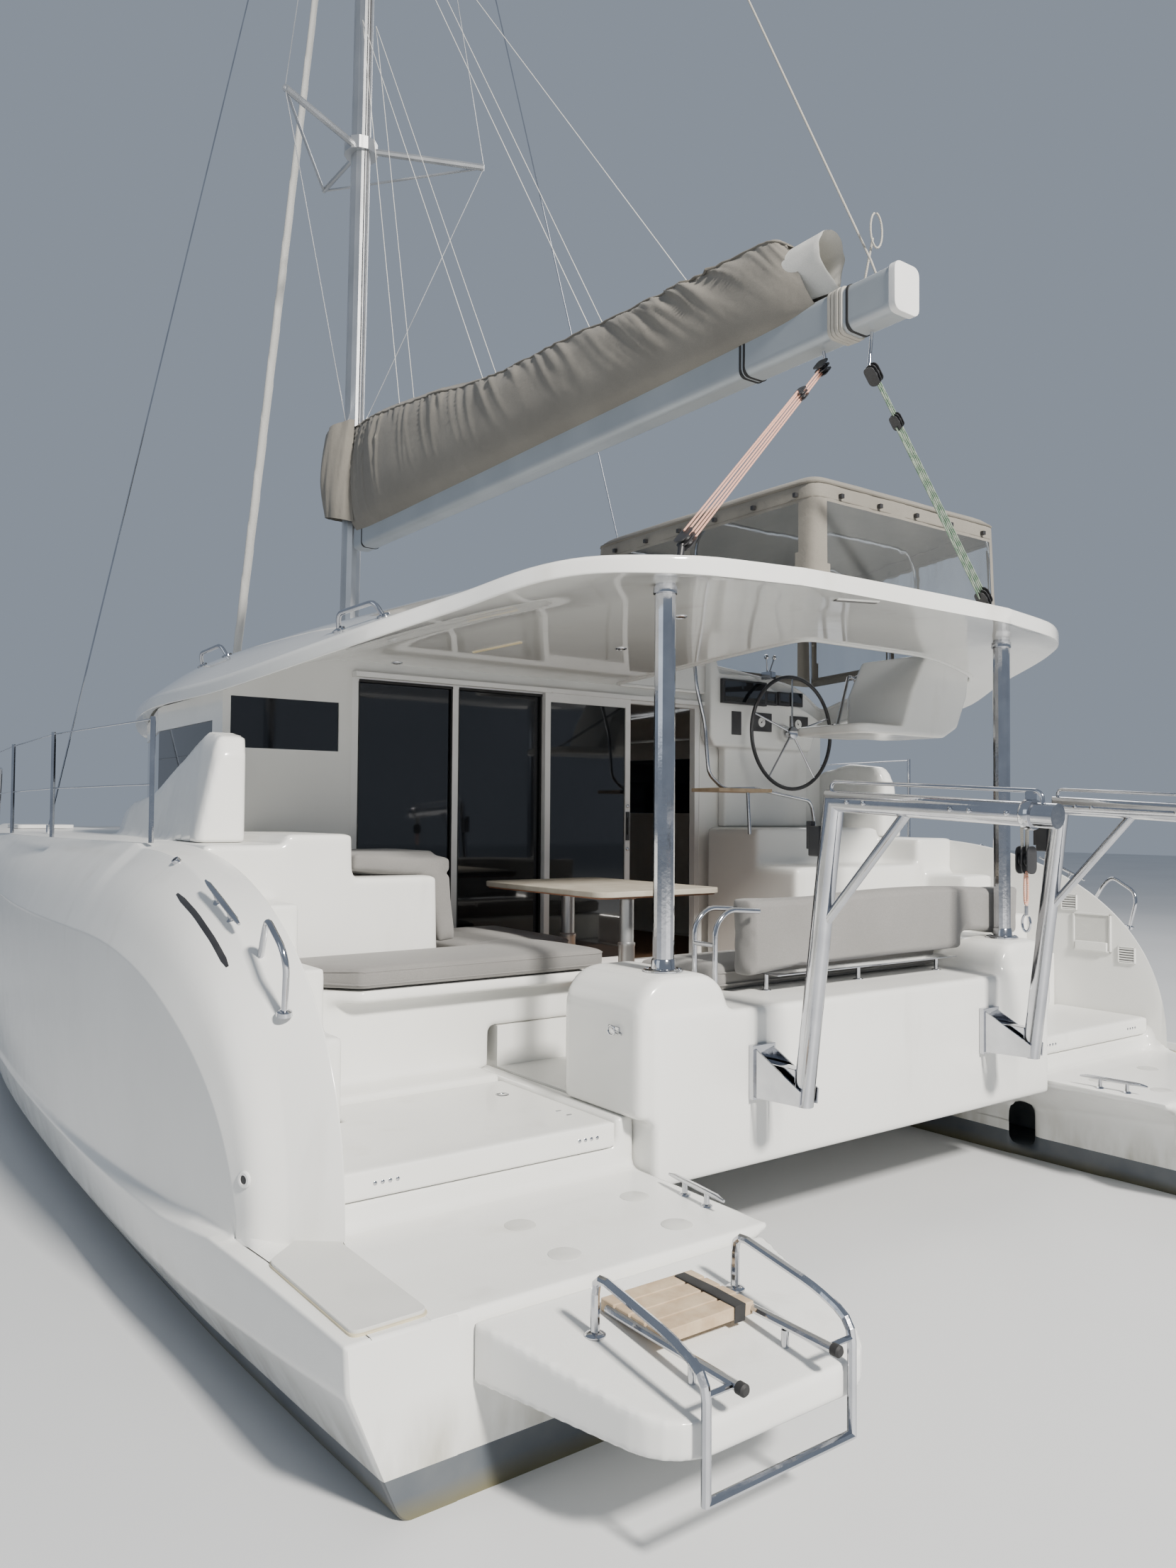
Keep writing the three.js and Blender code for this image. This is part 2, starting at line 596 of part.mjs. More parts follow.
const podShape = roundedRect(POD.inner, POD.outer, 300, POD.top, POD.round);
const beamParts = [
  box(-INNER_X + GAP, INNER_X - GAP, BEAM.aft, COCKPIT_AFT_Y - GAP, BEAM.bottom, BEAM.top),
  box(BEAM.seatPort, INNER_X - GAP, COCKPIT_AFT_Y - 1, BEAM.seatFront, FLOOR_Z + GAP, BEAM.top),
];
for (const { side, ledge } of SIDES) {
  const pod = prism(podShape, "y", POD.aft, POD.front, 40);
  const inboard = box(0, INNER_X - 1, -6000, 0, 0, 3000);
  const outboard = box(INNER_X - GAP, 3000, -6000, 0, 0, 3000);
  const under = (z) => box(0, 3000, -6000, 0, 0, z);
  const overHull = cut(pod, inboard, under(ledge + GAP));
  const overBeam = cut(pod, outboard, under(BEAM.bottom));
  beamParts.push(bodyToSide(join(overHull, overBeam), side));
}
place("aft_beam", join(...beamParts), GELCOAT);

// Cockpit side mouldings: the bench base, the block behind it and the steps from the stern up to the
// side deck

// Steps beside the bulwark: y aft, y front, z top
const SIDE_STEPS = [
  [-3850, -3650, 1100],
  [-3650, -3350, 1360],
  [-3350, -3000, 1620],
  [-3000, BULKHEAD.y - GAP, SIDE_DECK_Z],
];
function sideMoulding(ledge) {
  const base = LOCKER.under;
  const parts = SIDE_STEPS.map(([y0, y1, z]) => {
    const inner = z < SIDE_DECK_Z ? STEP_X : BACK_BLOCK.outer - 1;
    return box(inner, BULWARK_X - GAP, y0, y1 + (z < SIDE_DECK_Z ? 1 : 0), base, z);
  });
  parts.push(box(LOCKER.inner, STEP_X + 1, LOCKER.front + 5, BENCH.aft + 1, base, 780));
  parts.push(box(INNER_X + 50, STEP_X + 1, BENCH.aft, BENCH.front, base, BENCH.top));
  const under = [
    box(0, INNER_X + GAP, -6000, 0, 0, FLOOR_Z + GAP),
    box(0, INNER_LEDGE + 1 + GAP, -6000, 0, 0, ledge + GAP),
  ];
  return { parts, under };
}

// Port: the L-shaped bench and the block behind its back cushion
const portSide = sideMoulding(PASSAGE.z);
const backProfile = [
  [BACK_BLOCK.foot, BENCH.top - 1],
  [BACK_BLOCK.foot + BACK_BLOCK.lean, BACK_BLOCK.ledge],
  [BACK_BLOCK.high, BACK_BLOCK.ledge],
  [BACK_BLOCK.high + 10, BACK_BLOCK.top],
  [BACK_BLOCK.outer, BACK_BLOCK.top],
  [BACK_BLOCK.outer, BENCH.top - 1],
];
const seatLip = [
  [BENCH.inner, BENCH.aft - 110],
  [2250, BENCH.aft - 110],
  [2430, BENCH.aft + 30],
  [BENCH.inner, BENCH.aft + 30],
];
const portParts = [
  ...portSide.parts,
  box(BENCH.inner, INNER_X + 51, BENCH.aft, BENCH.front, FLOOR_Z + GAP, BENCH.top),
  box(BENCH.seatInner, BENCH.inner + 1, BACK_BLOCK.aft, BENCH.front, FLOOR_Z + GAP, BENCH.top),
  prism(backProfile, "y", BACK_BLOCK.aft, BENCH.front),
  prism(seatLip, "z", BENCH.top - 60, BENCH.top),
];
place("cockpit_moulding_port", bodyToSide(cut(join(...portParts), ...portSide.under), -1), GELCOAT);

// Starboard: the same steps, a bench end and the steps up to the helm
const starboardSide = sideMoulding(FLOOR_Z);
const helmStep = (aft, top) =>
  box(BENCH.starboardInner, BACK_BLOCK.outer, aft, BENCH.front, BENCH.top - 1, top);
const starboardParts = [
  ...starboardSide.parts,
  box(BENCH.starboardInner, INNER_X + 51, BENCH.aft, BENCH.front, FLOOR_Z + GAP, BENCH.top),
  helmStep(HELM_FLOOR.stepAft, HELM_FLOOR.step),
  helmStep(HELM_FLOOR.aft, HELM_FLOOR.top),
];
place("cockpit_moulding_starboard", cut(join(...starboardParts), ...starboardSide.under), GELCOAT);

// Locker lids between the bulwark and the cockpit

const lidPlan = [
  [LOCKER.inner, LOCKER.aft],
  [BULWARK_X - 8, LOCKER.aft],
  [BULWARK_X - 8, SIDE_STEPS[0][0] - 6],
  [STEP_X - 6, SIDE_STEPS[0][0] - 6],
  [STEP_X - 6, LOCKER.front],
  [LOCKER.inner, LOCKER.front],
];
for (const { word, side } of SIDES)
  place("locker_lid_" + word, toSide(prism(lidPlan, "z", LOCKER.under, LOCKER.top, 6), side), GELCOAT);

// Table

const tablePlan = roundedRect(TABLE.x0, TABLE.x1, TABLE.y0, TABLE.y1, 90);
const tableX = (TABLE.x0 + TABLE.x1) / 2;
const tableLegs = TABLE_LEG_Y.map((y) => {
  const foot = [tableX, y, FLOOR_Z + GAP];
  const post = tube([foot, [tableX, y, TABLE.top - TABLE.thick + 1]], TABLE.leg, 0, 12);
  return join(post, tube([foot, [tableX, y, FLOOR_Z + 25]], 110, 0, 16));
});
place("table", join(prism(tablePlan, "z", TABLE.top - TABLE.thick, TABLE.top), ...tableLegs), TEAK);

// Cushions

const PAD_EDGE = 20;
const pad = (name, outline, axis, from, to) =>
  place(name, prism(outline, axis, from, to, PAD_EDGE), CUSHION_CLOTH);
const benchPad = [
  [-2450, -3350],
  [-2270, -3540],
  [-880, -3540],
  [-880, -2975],
  [-680, -2975],
  [-680, -2110],
  [-1440, -2110],
  [-1440, BACK_BLOCK.aft - 5],
  [-2450, BACK_BLOCK.aft - 5],
];
pad("cushion_port_bench", benchPad, "z", BENCH.top + GAP, BENCH.top + CUSHION);
const seatTop = BENCH.top + CUSHION + 1;
const backPad = [
  [-1450, seatTop],
  [-1450, BACK_BLOCK.ledge + 110],
  [-2055, BACK_BLOCK.ledge + 110],
  [-2055, BACK_BLOCK.ledge + GAP],
  [-1575 - BACK_BLOCK.lean, BACK_BLOCK.ledge + GAP],
  [-1575, seatTop],
];
pad("cushion_port_back", backPad, "y", -2950, BENCH.front - 10);
const aftSeatPad = [
  [BEAM.seatPort, -4240],
  [POD.inner - 10, -4240],
  [POD.inner - 10, POD.front + 10],
  [1440, POD.front + 10],
  [1440, BEAM.seatFront - 10],
  [BEAM.seatPort, BEAM.seatFront - 10],
];
pad("cushion_aft_seat", aftSeatPad, "z", BEAM.top + GAP, BEAM.top + CUSHION);
const aftBackPad = [
  [BACKREST.x0, BACKREST.bottom],
  [POD.inner - 10, BACKREST.bottom],
  [POD.inner - 10, POD.top + 15],
  [BACKREST.x1, POD.top + 15],
  [BACKREST.x1, BACKREST.top],
  [BACKREST.x0, BACKREST.top],
];
pad("cushion_aft_back", aftBackPad, "y", BACKREST.y0, BACKREST.y1);

// Tube frame that carries the backrest above the aft beam
const frameY = BACKREST.y0 - 12 - GAP;
const uprights = [-500, 300, 880].map((x) =>
  tube([[x, frameY, BEAM.top + GAP], [x, frameY, BACKREST.top - 60]], 12, 0, 8),
);
const topRail = tube([[-500, frameY, BACKREST.top - 60], [880, frameY, BACKREST.top - 60]], 12, 0, 8);
const cradle = box(-515, 895, frameY - 10, BACKREST.y1 - 30, BACKREST.bottom - 8, BACKREST.bottom - GAP);
place("backrest_frame", join(...uprights, topRail, cradle), STEEL);

// Roof: y, half width, edge z, shoulder x, shoulder z, top z, ceiling z, ceiling x

const FASCIA = 75;
const ROOF_SECTIONS = [
  [-4830, 800, 3055, 780, 3135, 3140, 3057, 700],
  [-4740, 1350, 3045, 1300, 3130, 3150, 3057, 1100],
  [-4450, 1790, 3025, 1700, 3115, 3165, 3060, 1350],
  [-3940, 2060, 2915, 1850, 3080, 3180, 3050, 1450],
  [-3460, 2310, 2800, 2000, 3060, 3190, 3030, 1600],
  [-2230, 2500, 2690, 2150, 3050, 3190, 2960, 1850],
  [-800, 2500, 2690, 2150, 3040, 3170, 2900, 1900],
  [500, 2260, 2670, 1950, 2990, 3130, 2860, 1700],
  [1600, 1840, 2630, 1550, 2900, 3060, 2800, 1350],
  [2200, 1260, 2600, 1050, 2800, 2930, 2740, 900],
  [2480, 600, 2590, 500, 2690, 2760, 2650, 450],
];

function roofRing([y, w, edge, shoulderX, shoulderZ, top, ceiling, ceilingX]) {
  const half = [
    [w, y, edge],
    [w, y, edge + FASCIA],
    [shoulderX, y, shoulderZ],
    [shoulderX * 0.55, y, top - (top - shoulderZ) * 0.25],
  ];
  const over = [...half, [0, y, top], ...half.reverse().map(([x, yy, z]) => [-x, yy, z])];
  return [...over, [-ceilingX, y, ceiling], [ceilingX, y, ceiling]];
}

const roofShell = loft(ROOF_SECTIONS.map(roofRing));
const roofAt = (lift) => roofShell.clone().translate(0, 0, lift);
const wellPlan = [
  [HELM_WELL.inner, HELM_WELL.aft],
  [HELM_WELL.outerAft, HELM_WELL.aft],
  [HELM_WELL.outerFront, HELM_WELL.front],
  [HELM_WELL.inner, HELM_WELL.front],
];
// The raised lip round the helm well, trimmed away below the roof's skin
const lip = prism(inset(wellPlan, -WELL_LIP.wide), "z", 2780, WELL_LIP.top);
const lipOnRoof = cut(lip, ...[-60, -120, -180, -240].map(roofAt));
const roofBody = cut(join(roofShell, highest(lipOnRoof)), prism(wellPlan, "z", 2000, 4000));
place("roof", roofBody, GELCOAT);

// Saloon walls: a ring in plan, cut by the roof, the doorway and the window openings

const underRoof = [roofShell, roofAt(-0.5)]; // for what stands under the roof
const onRoof = [roofShell, roofAt(0.5)]; // for what stands on it
const WALL = 60;
const WALL_TOP = 3300;
const ring = (outer, inner, foot) => {
  const hole = prism(inset(SALOON_PLAN, inner), "z", 0, WALL_TOP + 10);
  return cut(prism(inset(SALOON_PLAN, outer), "z", foot, WALL_TOP), hole);
};
// Windows: name, box x0, x1, y0, y1, z0, z1
const WINDOWS = [
  ["window_front", -1950, 1950, 1120, 2600, 2060, 2480],
  ["window_port", -2600, -1500, -1850, 1060, 2060, 2560],
  ["window_starboard", 1500, 2600, -1850, 1060, 2060, 2560],
  ["window_aft_port", -2385, -1740, -2100, -1900, 2400, 2690],
];
const paneRing = ring(8, 20, FLOOR_Z);
const windowBoxes = WINDOWS.map(([, ...b]) => box(...b));
const doorHole = box(DOOR.x0 - GAP, DOOR.x1 + GAP, -2100, -1950, FLOOR_Z - 10, DOOR.top + GAP);
const wallRing = ring(0, WALL, FLOOR_Z + GAP);
place("saloon_walls", lowest(cut(wallRing, ...windowBoxes, doorHole, ...underRoof)), GELCOAT);
WINDOWS.forEach(([name, x0, x1, y0, y1, z0, z1]) => {
  const inside = solid(box(x0 + GAP, x1 - GAP, y0 + GAP, y1 - GAP, z0 + GAP, z1 - GAP));
  place(name, inside.intersect(paneRing), GLASS);
});

// Sliding door: a fixed frame with two fixed panes, and one sliding leaf

const [sill, doorHead] = [FLOOR_Z + 50, DOOR.top - 50];
const doorBays = [
  [PANEL_X[0], PANEL_X[1] - DOOR.stile / 2],
  [PANEL_X[1] + DOOR.stile / 2, PANEL_X[2] - DOOR.stile / 2],
  [PANEL_X[2] + DOOR.stile / 2, PANEL_X[4]],
];
const bayCuts = doorBays.map(([x0, x1]) => box(x0, x1, -2100, -1900, sill, doorHead));
const doorOuter = box(DOOR.x0, DOOR.x1, BULKHEAD.y + 4, BULKHEAD.y + WALL, FLOOR_Z + GAP, DOOR.top);
const track = (z0, z1) => box(DOOR.x0, DOOR.x1, BULKHEAD.y - 58, BULKHEAD.y + 5, z0, z1);
const tracks = [track(FLOOR_Z + GAP, sill - 20), track(doorHead + 20, DOOR.top)];
place("door_frame", join(cut(doorOuter, ...bayCuts), ...tracks), ALLOY);
doorBays.slice(0, 2).forEach(([x0, x1], i) => {
  const pane = box(x0 + GAP, x1 - GAP, BULKHEAD.y + 25, BULKHEAD.y + 37, sill + GAP, doorHead - GAP);
  place("door_pane_" + (i + 1), pane, GLASS);
});
const leaf = { x0: PANEL_X[2] - 21, x1: PANEL_X[3] + 21, y0: BULKHEAD.y - 40, y1: BULKHEAD.y - 8 };
const leafOuter = box(leaf.x0, leaf.x1, leaf.y0, leaf.y1, sill - 20 + GAP, doorHead + 20 - GAP);
const leafOpening = (inward, y0, y1) =>
  box(
    leaf.x0 + DOOR.stile + inward,
    leaf.x1 - DOOR.stile - inward,
    y0,
    y1,
    sill + 40 + inward,
    doorHead - 40 - inward,
  );
place("door_leaf", cut(leafOuter, leafOpening(0, -2200, -1900)), ALLOY);
place("door_leaf_glass", leafOpening(GAP, leaf.y0 + 10, leaf.y0 + 20), GLASS);

// Galley unit, seen through the doors

place("galley_unit", box(-1300, 1200, 900, 1500, FLOOR_Z + GAP, FLOOR_Z + 920), GELCOAT);

// Poles under the aft edge of the roof

for (const { word, side } of SIDES) {
  const [foot, head] = [POD.top + GAP, 3120].map((z) => [side * POLE.x, POLE.y, z]);
  const shaft = tube([foot, head], POLE.radius, 0, 14);
  place("pole_" + word, lowest(cut(shaft, ...underRoof)), STEEL);
}

// Helm: the console on the bulkhead, the wheel and the seat in the well

const consoleFace = [
  [1165, 2550],
  [2190, 2550],
  [2290, 2810],
  [1560, 3100],
  [1210, 3100],
  [1180, 3215],
  [1120, 3215],
  [1120, 2620],
];
const consoleBody = prism(consoleFace, "y", HELM.consoleY, BULKHEAD.y - GAP);
const consoleFoot = box(1300, 2200, -2110, BULKHEAD.y - GAP, HELM_FLOOR.top + GAP, 2551);
const wheelBoss = tube([[HELM.x, BULKHEAD.y - 20, HELM.z], [HELM.x, HELM.bossY, HELM.z]], 62, 0, 12);
const besideRoof = [[0, 0, 0], [0, -GAP, 0], [0, 0, -0.5]].map((shift) => roofBody.translate(shift));
place("helm_console", lowest(cut(join(consoleBody, consoleFoot, wheelBoss), ...besideRoof)), GELCOAT);

function helmWheel() {
  const rim = new THREE.TorusGeometry(HELM.radius, HELM.rim, 6, 32);
  const parts = [rim, new THREE.CylinderGeometry(45, 45, 60, 12).rotateX(Math.PI / 2)];
  for (let i = 0; i < 5; i++) {
    const angle = Math.PI / 2 + (i * 2 * Math.PI) / 5;
    const end = [HELM.radius * Math.cos(angle), HELM.radius * Math.sin(angle), 0];
    parts.push(tube([[0, 0, 0], end], 8, 0, 6));
  }
  const length = HELM.bossY - GAP - HELM.y;
  const shaft = new THREE.CylinderGeometry(20, 20, length, 10).rotateX(Math.PI / 2);
  parts.push(shaft.translate(0, 0, -length / 2));
  return join(...parts.map((g) => g.rotateX(Math.PI / 2).translate(HELM.x, HELM.y, HELM.z)));
}
place("helm_wheel", helmWheel(), BLACK);

// Seat: z, x0, x1, front y; its back stands against the aft side of the well
const SEAT_RINGS = [
  [2540, 1120, 1560, -3420],
  [2610, 1160, 1700, -3330],
  [2820, 1240, 1800, -3260],
  [3060, 1380, 1840, -3260],
];
const SEAT_SHELF = { port: 770, front: -3290, bottom: 2540, top: 2600 };
const seatAft = HELM_WELL.aft + GAP;
const seatRing = ([z, x0, x1, front]) => [
  [x0, seatAft, z],
  [x1, seatAft, z],
  [x1, front - 90, z],
  [x1 - 90, front, z],
  [x0 + 90, front, z],
  [x0, front - 90, z],
];
const seatBody = loft(SEAT_RINGS.map(seatRing));
const seatPan = box(1440, 1780, seatAft + 160, -3000, 2960, 3200);
const seatBack = box(1400, 1820, seatAft, seatAft + 90, 3000, 3420);
const { port: shelfPort, front: shelfFront, bottom: shelfBottom, top: shelfTop } = SEAT_SHELF;
const shelf = prism(roundedRect(shelfPort, 1300, seatAft, shelfFront, 90), "z", shelfBottom, shelfTop);
place("helm_seat", join(cut(seatBody, seatPan), seatBack, shelf), GELCOAT);

// Bimini over the helm

function biminiRing(z, inward) {
  const { x0, x1, y0, y1, flare, round } = BIMINI;
  const shape = roundedRect(x0 + inward, x1 - inward, y0 + inward, y1 - inward, round);
  const spread = (p) => ((p.x - x0) / (x1 - x0)) * ((p.y - y0) / (y1 - y0)) * flare;
  return shape.getPoints(4).slice(0, -1).map((p) => [p.x + spread(p), p.y, z]);
}
const biminiOuter = loft([
  biminiRing(BIMINI.foot, 0),
  biminiRing(BIMINI.eave, 30),
  biminiRing(BIMINI.shoulder, 90),
  biminiRing(BIMINI.top, 200),
]);
const biminiInner = loft([
  biminiRing(BIMINI.foot - 10, BIMINI.skin),
  biminiRing(BIMINI.eave, 30 + BIMINI.skin),
  biminiRing(BIMINI.shoulder - BIMINI.skin, 90 + BIMINI.skin),
  biminiRing(BIMINI.top - BIMINI.skin, 200),
]);
place("bimini_canopy", highest(cut(biminiOuter, biminiInner, ...onRoof)), COVER_CLOTH);

// Mast, boom and rigging

function mastRing(y, z, long, wide) {
  return Array.from({ length: 12 }, (_, i) => {
    const angle = (i * Math.PI) / 6;
    return [(wide / 2) * Math.sin(angle), y + (long / 2) * Math.cos(angle), z];
  });
}
const mastLoft = (grow) =>
  loft([
    mastRing(MAST.y, MAST.foot - 200, MAST.long + grow, MAST.wide + grow),
    mastRing(MAST.headY, MAST.head, MAST.long + grow, MAST.wide + grow),
  ]);
const mastRise = (z) => (z - MAST.foot + 200) / (MAST.head - MAST.foot + 200);
const mastYAt = (z) => MAST.y + (MAST.headY - MAST.y) * mastRise(z);
const mastBody = highest(cut(mastLoft(0), ...onRoof));
// The fork on the mast holds the pin that the boom turns on.
const forkPlate = (z) => box(-25, 25, BOOM.pinY - 25, mastYAt(BOOM.z) - MAST.long / 2 + 20, z - 10, z + 10);
const forkPin = tube([[0, BOOM.pinY, BOOM.z - 50], [0, BOOM.pinY, BOOM.z + 50]], BOOM.pin, 0, 16);
place("mast", join(mastBody, forkPlate(BOOM.z - 45), forkPlate(BOOM.z + 45), forkPin), ALLOY);

// Spreaders, forward strut and the diamond stays on the mast
const mastClear = solid(mastLoft(2 * GAP));
const spreaderY = mastYAt(SPREADER.z);
const strutTip = [0, spreaderY + 900, SPREADER.z + 10];
const collar = [[0, spreaderY, SPREADER.z - 60], [0, spreaderY, SPREADER.z + 60]];
const stayX = MAST.wide / 2 - 5;
const rigParts = [tube(collar, MAST.long / 2 + 30, 0, 12)];
for (const { side } of SIDES) {
  const tip = [side * SPREADER.tipX, SPREADER.tipY, SPREADER.tipZ];
  rigParts.push(tube([[0, spreaderY, SPREADER.z], tip], 32, 0, 8));
  rigParts.push(tube([tip, strutTip], 14, 0, 6));
  rigParts.push(tube([tip, [side * stayX, mastYAt(HOUNDS_Z - 300), HOUNDS_Z - 300]], 5, 0, 6));
  rigParts.push(tube([tip, [side * stayX, mastYAt(DIAMOND_FOOT_Z), DIAMOND_FOOT_Z]], 5, 0, 6));
}
rigParts.push(tube([[0, spreaderY, SPREADER.z], strutTip], 24, 0, 8));
place("spreaders", join(...rigParts).subtract(mastClear), ALLOY);

// Boom with the eye that turns on the mast's pin
const boomOutline = (grow) => {
  const [half, deep] = [BOOM.wide / 2 + grow, BOOM.deep / 2 + grow];
  return roundedRect(-half, half, BOOM.z - deep, BOOM.z + deep, 50);
};
const eyeBody = tube([[0, BOOM.pinY, BOOM.z - 34], [0, BOOM.pinY, BOOM.z + 34]], 28, 0, 16);
const eyeArm = box(-24, 24, BOOM.front - 20, BOOM.pinY, BOOM.z - 34, BOOM.z + 34);
const eyeHole = tube([[0, BOOM.pinY, BOOM.z - 60], [0, BOOM.pinY, BOOM.z + 60]], BOOM.eye, 0, 16);
const boomBody = prism(boomOutline(0), "y", BOOM.aft, BOOM.front, 12);
place("boom", cut(join(boomBody, eyeBody, eyeArm), eyeHole), ALLOY);

// Sail cover: y, half width, top above the boom
const COVER_SECTIONS = [
  [-4230, 105, 560],
  [-4050, 140, 615],
  [-3500, 160, 635],
  [-2700, 185, 675],
  [-1800, 195, 745],
  [-900, 212, 805],
  [-100, 215, 950],
  [700, 226, 1060],
  [1150, 215, 1110],
  [1420, 185, 1120],
];
// Its outline: part of the half width, part of the height above the boom
const COVER_OUTLINE = [
  [0.45, 0],
  [0.86, 0.12],
  [1, 0.32],
  [0.98, 0.55],
  [0.84, 0.76],
  [0.58, 0.92],
  [0.22, 1],
];
function coverRing([y, half, rise]) {
  const foot = BOOM.z + 30;
  const right = COVER_OUTLINE.map(([across, up]) => [half * across, y, foot + (rise - 30) * up]);
  return [...right, ...right.toReversed().map(([x, , z]) => [-x, y, z])];
}
const boomClear = prism(boomOutline(GAP), "y", BOOM.aft - 10, BOOM.front + 10);
place("sail_cover", cut(loft(COVER_SECTIONS.map(coverRing)), boomClear), COVER_CLOTH);

const jibTop = [0, mastYAt(HOUNDS_Z) + 130, HOUNDS_Z];
const jibFoot = [0, FORESTAY.y, FORESTAY.z];
const jibRoll = tube([jibFoot, [0, FORESTAY.y, FORESTAY.z + 40], jibTop], 55, 0, 10);
place("furled_jib", cut(jibRoll, mastClear), SAIL);

for (const { word, side } of SIDES) {
  const foot = [side * CHAINPLATE.x, CHAINPLATE.y, SIDE_DECK_Z + GAP];
  const wire = tube([[foot[0], foot[1], foot[2] + 30], [side * 66, mastYAt(HOUNDS_Z), HOUNDS_Z]], 6, 0, 6);
  const plate = box(foot[0] - 8, foot[0] + 8, CHAINPLATE.y - 30, CHAINPLATE.y + 30, foot[2], foot[2] + 60);
  place("shroud_" + word, join(wire, plate).subtract(mastClear), STEEL);
}

// Bow beam with its centre spar, and the trampolines

const hullsBeside = SIDES.map(({ side }) => toSide(hullShell.clone().translate(-GAP, 0, 0), side));
const spar = tube([[0, DECK_FRONT_Y + GAP, BOW_BEAM.z - 40], [0, 5700, BOW_BEAM.z - 40]], 60, 0, 10);
const beamEnds = [-1, 1].map((side) => [side * (HULL_X - 60), BOW_BEAM.y, BOW_BEAM.z]);
const beamTube = tube(beamEnds, BOW_BEAM.radius, 0, 12);
const drum = tube([[0, FORESTAY.y, BOW_BEAM.z - 20], [0, FORESTAY.y, FORESTAY.z - GAP]], 70, 0, 12);
place("bow_beam", join(cut(beamTube, ...hullsBeside), spar, drum), ALLOY);

for (const { word, side } of SIDES) {
  const [y0, y1] = [DECK_FRONT_Y + 1, BOW_BEAM.y - BOW_BEAM.radius - GAP];
  const net = toSide(box(60 + GAP, 2250, y0, y1, 1790, 1802), side);
  place("trampoline_" + word, cut(net, ...hullsBeside), NET);
}

// Guard rails with their bow pulpits

const STANCHION_Y = [-2520, -1000, 500, 2000, 3400];
const RAIL_IN = 170; // from the hull's side to the stanchions
const RAIL_ROOT = 30; // trimmed off where the stanchions meet the deck
const sheerX = (y) => columnAt(HULL_SECTIONS, y, COLUMN.topX);
const sheerZ = (y) => columnAt(HULL_SECTIONS, y, COLUMN.topZ);
SIDES.forEach(({ word, side }, index) => {
  const feet = STANCHION_Y.map((y, i) => {
    const x = i ? sheerX(y) - RAIL_IN : ARCH.ridgeX - 35;
    return [side * x, y, sheerZ(y) - RAIL_ROOT];
  });
  const up = ([x, y, z], h) => [x, y, z + h];
  const parts = feet.map((f) => tube([f, up(f, RAIL_HEIGHT)], 13, 0, 8));
  for (const h of [RAIL_HEIGHT - 12, 320])
    feet.slice(1).forEach((foot, i) => parts.push(tube([up(feet[i], h), up(foot, h)], 4, 0, 6)));
  const bowX = side * (sheerX(5300) - 100);
  const top = feet.at(-1)[2] + RAIL_HEIGHT;
  const hoop = [
    up(feet.at(-1), RAIL_HEIGHT - 12),
    [bowX, 5300, top],
    [bowX, 5450, sheerZ(5450) - RAIL_ROOT],
  ];
  parts.push(tube(hoop, 13, 120, 8));
  place("guard_rail_" + word, cut(join(...parts), hulls[index].translate([0, 0, GAP])), STEEL);
});

// Bow hatches

for (const { word, side } of SIDES) {
  const { x0, x1, y0, y1 } = BOW_LOCKER;
  const foot = sheerZ(y1 + 45) + GAP;
  const lid = prism(roundedRect(x0 - 45, x1 + 45, y0 - 45, y1 + 45, 40), "z", foot, foot + 32);
  place("bow_hatch_" + word, toSide(lid, side), GELCOAT);
}

// Davits on the aft beam: a square-section leg and arm with a mitred knee, and a brace

const davitOutline = [
  [DAVIT.footY - DAVIT.radius, DAVIT.foot],
  [DAVIT.kneeY - DAVIT.radius, DAVIT.kneeZ - DAVIT.radius],
  [DAVIT.armY, DAVIT.armZ - DAVIT.radius],
  [DAVIT.armY, DAVIT.armZ + DAVIT.radius],
  [DAVIT.kneeY + DAVIT.radius, DAVIT.kneeZ + DAVIT.radius],
  [DAVIT.footY + DAVIT.radius, DAVIT.foot],
];
const braceOutline = [
  [-4960, 1536],
  [-5450, DAVIT.kneeZ - 74],
  [-5450, DAVIT.kneeZ - 26],
  [-4960, 1584],
];
const davitBetween = (outline, half) => prism(outline, "x", DAVIT.x - half, DAVIT.x + half);
const davitParts = [
  davitBetween(davitOutline, 34),
  davitBetween(braceOutline, 16),
  box(DAVIT.x - 34, DAVIT.x + 34, DAVIT.footY, BEAM.aft - GAP, 820, 960),
  box(DAVIT.x - 70, DAVIT.x + 70, BEAM.aft - 30, BEAM.aft - GAP, 780, 1020),
  tube([[DAVIT.x, -5250, DAVIT.kneeZ + 68], [DAVIT.x, DAVIT.armY + 60, DAVIT.armZ + 64]], 26, 0, 10),
];
for (const { word, side } of SIDES) place("davit_" + word, bodyToSide(join(...davitParts), side), STEEL);

// Boarding ladder and its hoops on the port platform

const { pivotY, pivotZ } = LADDER;
const beside = (k, distance) => -(LADDER.x + k * distance); // to one side of the ladder's middle
const hoopParts = [-1, 1].map((k) => {
  const x = beside(k, LADDER.hoop);
  const route = [[x, -5540, 440], [x, -5540, 670], [x, -5900, 610], [x, pivotY, 560], [x, pivotY, 230]];
  return tube(route, LADDER.tube, 60, 8);
});
hoopParts.push(tube([-1, 1].map((k) => [beside(k, LADDER.hoop), pivotY, 236]), LADDER.tube, 0, 8));
for (const k of [-1, 1]) {
  const reach = [LADDER.rail + LADDER.tube + GAP, LADDER.hoop];
  hoopParts.push(tube(reach.map((d) => [beside(k, d), pivotY, pivotZ]), 9, 0, 8));
}
const platformBelow = bodyToSide(platform, -1).translate([0, 0, GAP]);
place("ladder_hoops", join(...hoopParts).subtract(platformBelow), STEEL);

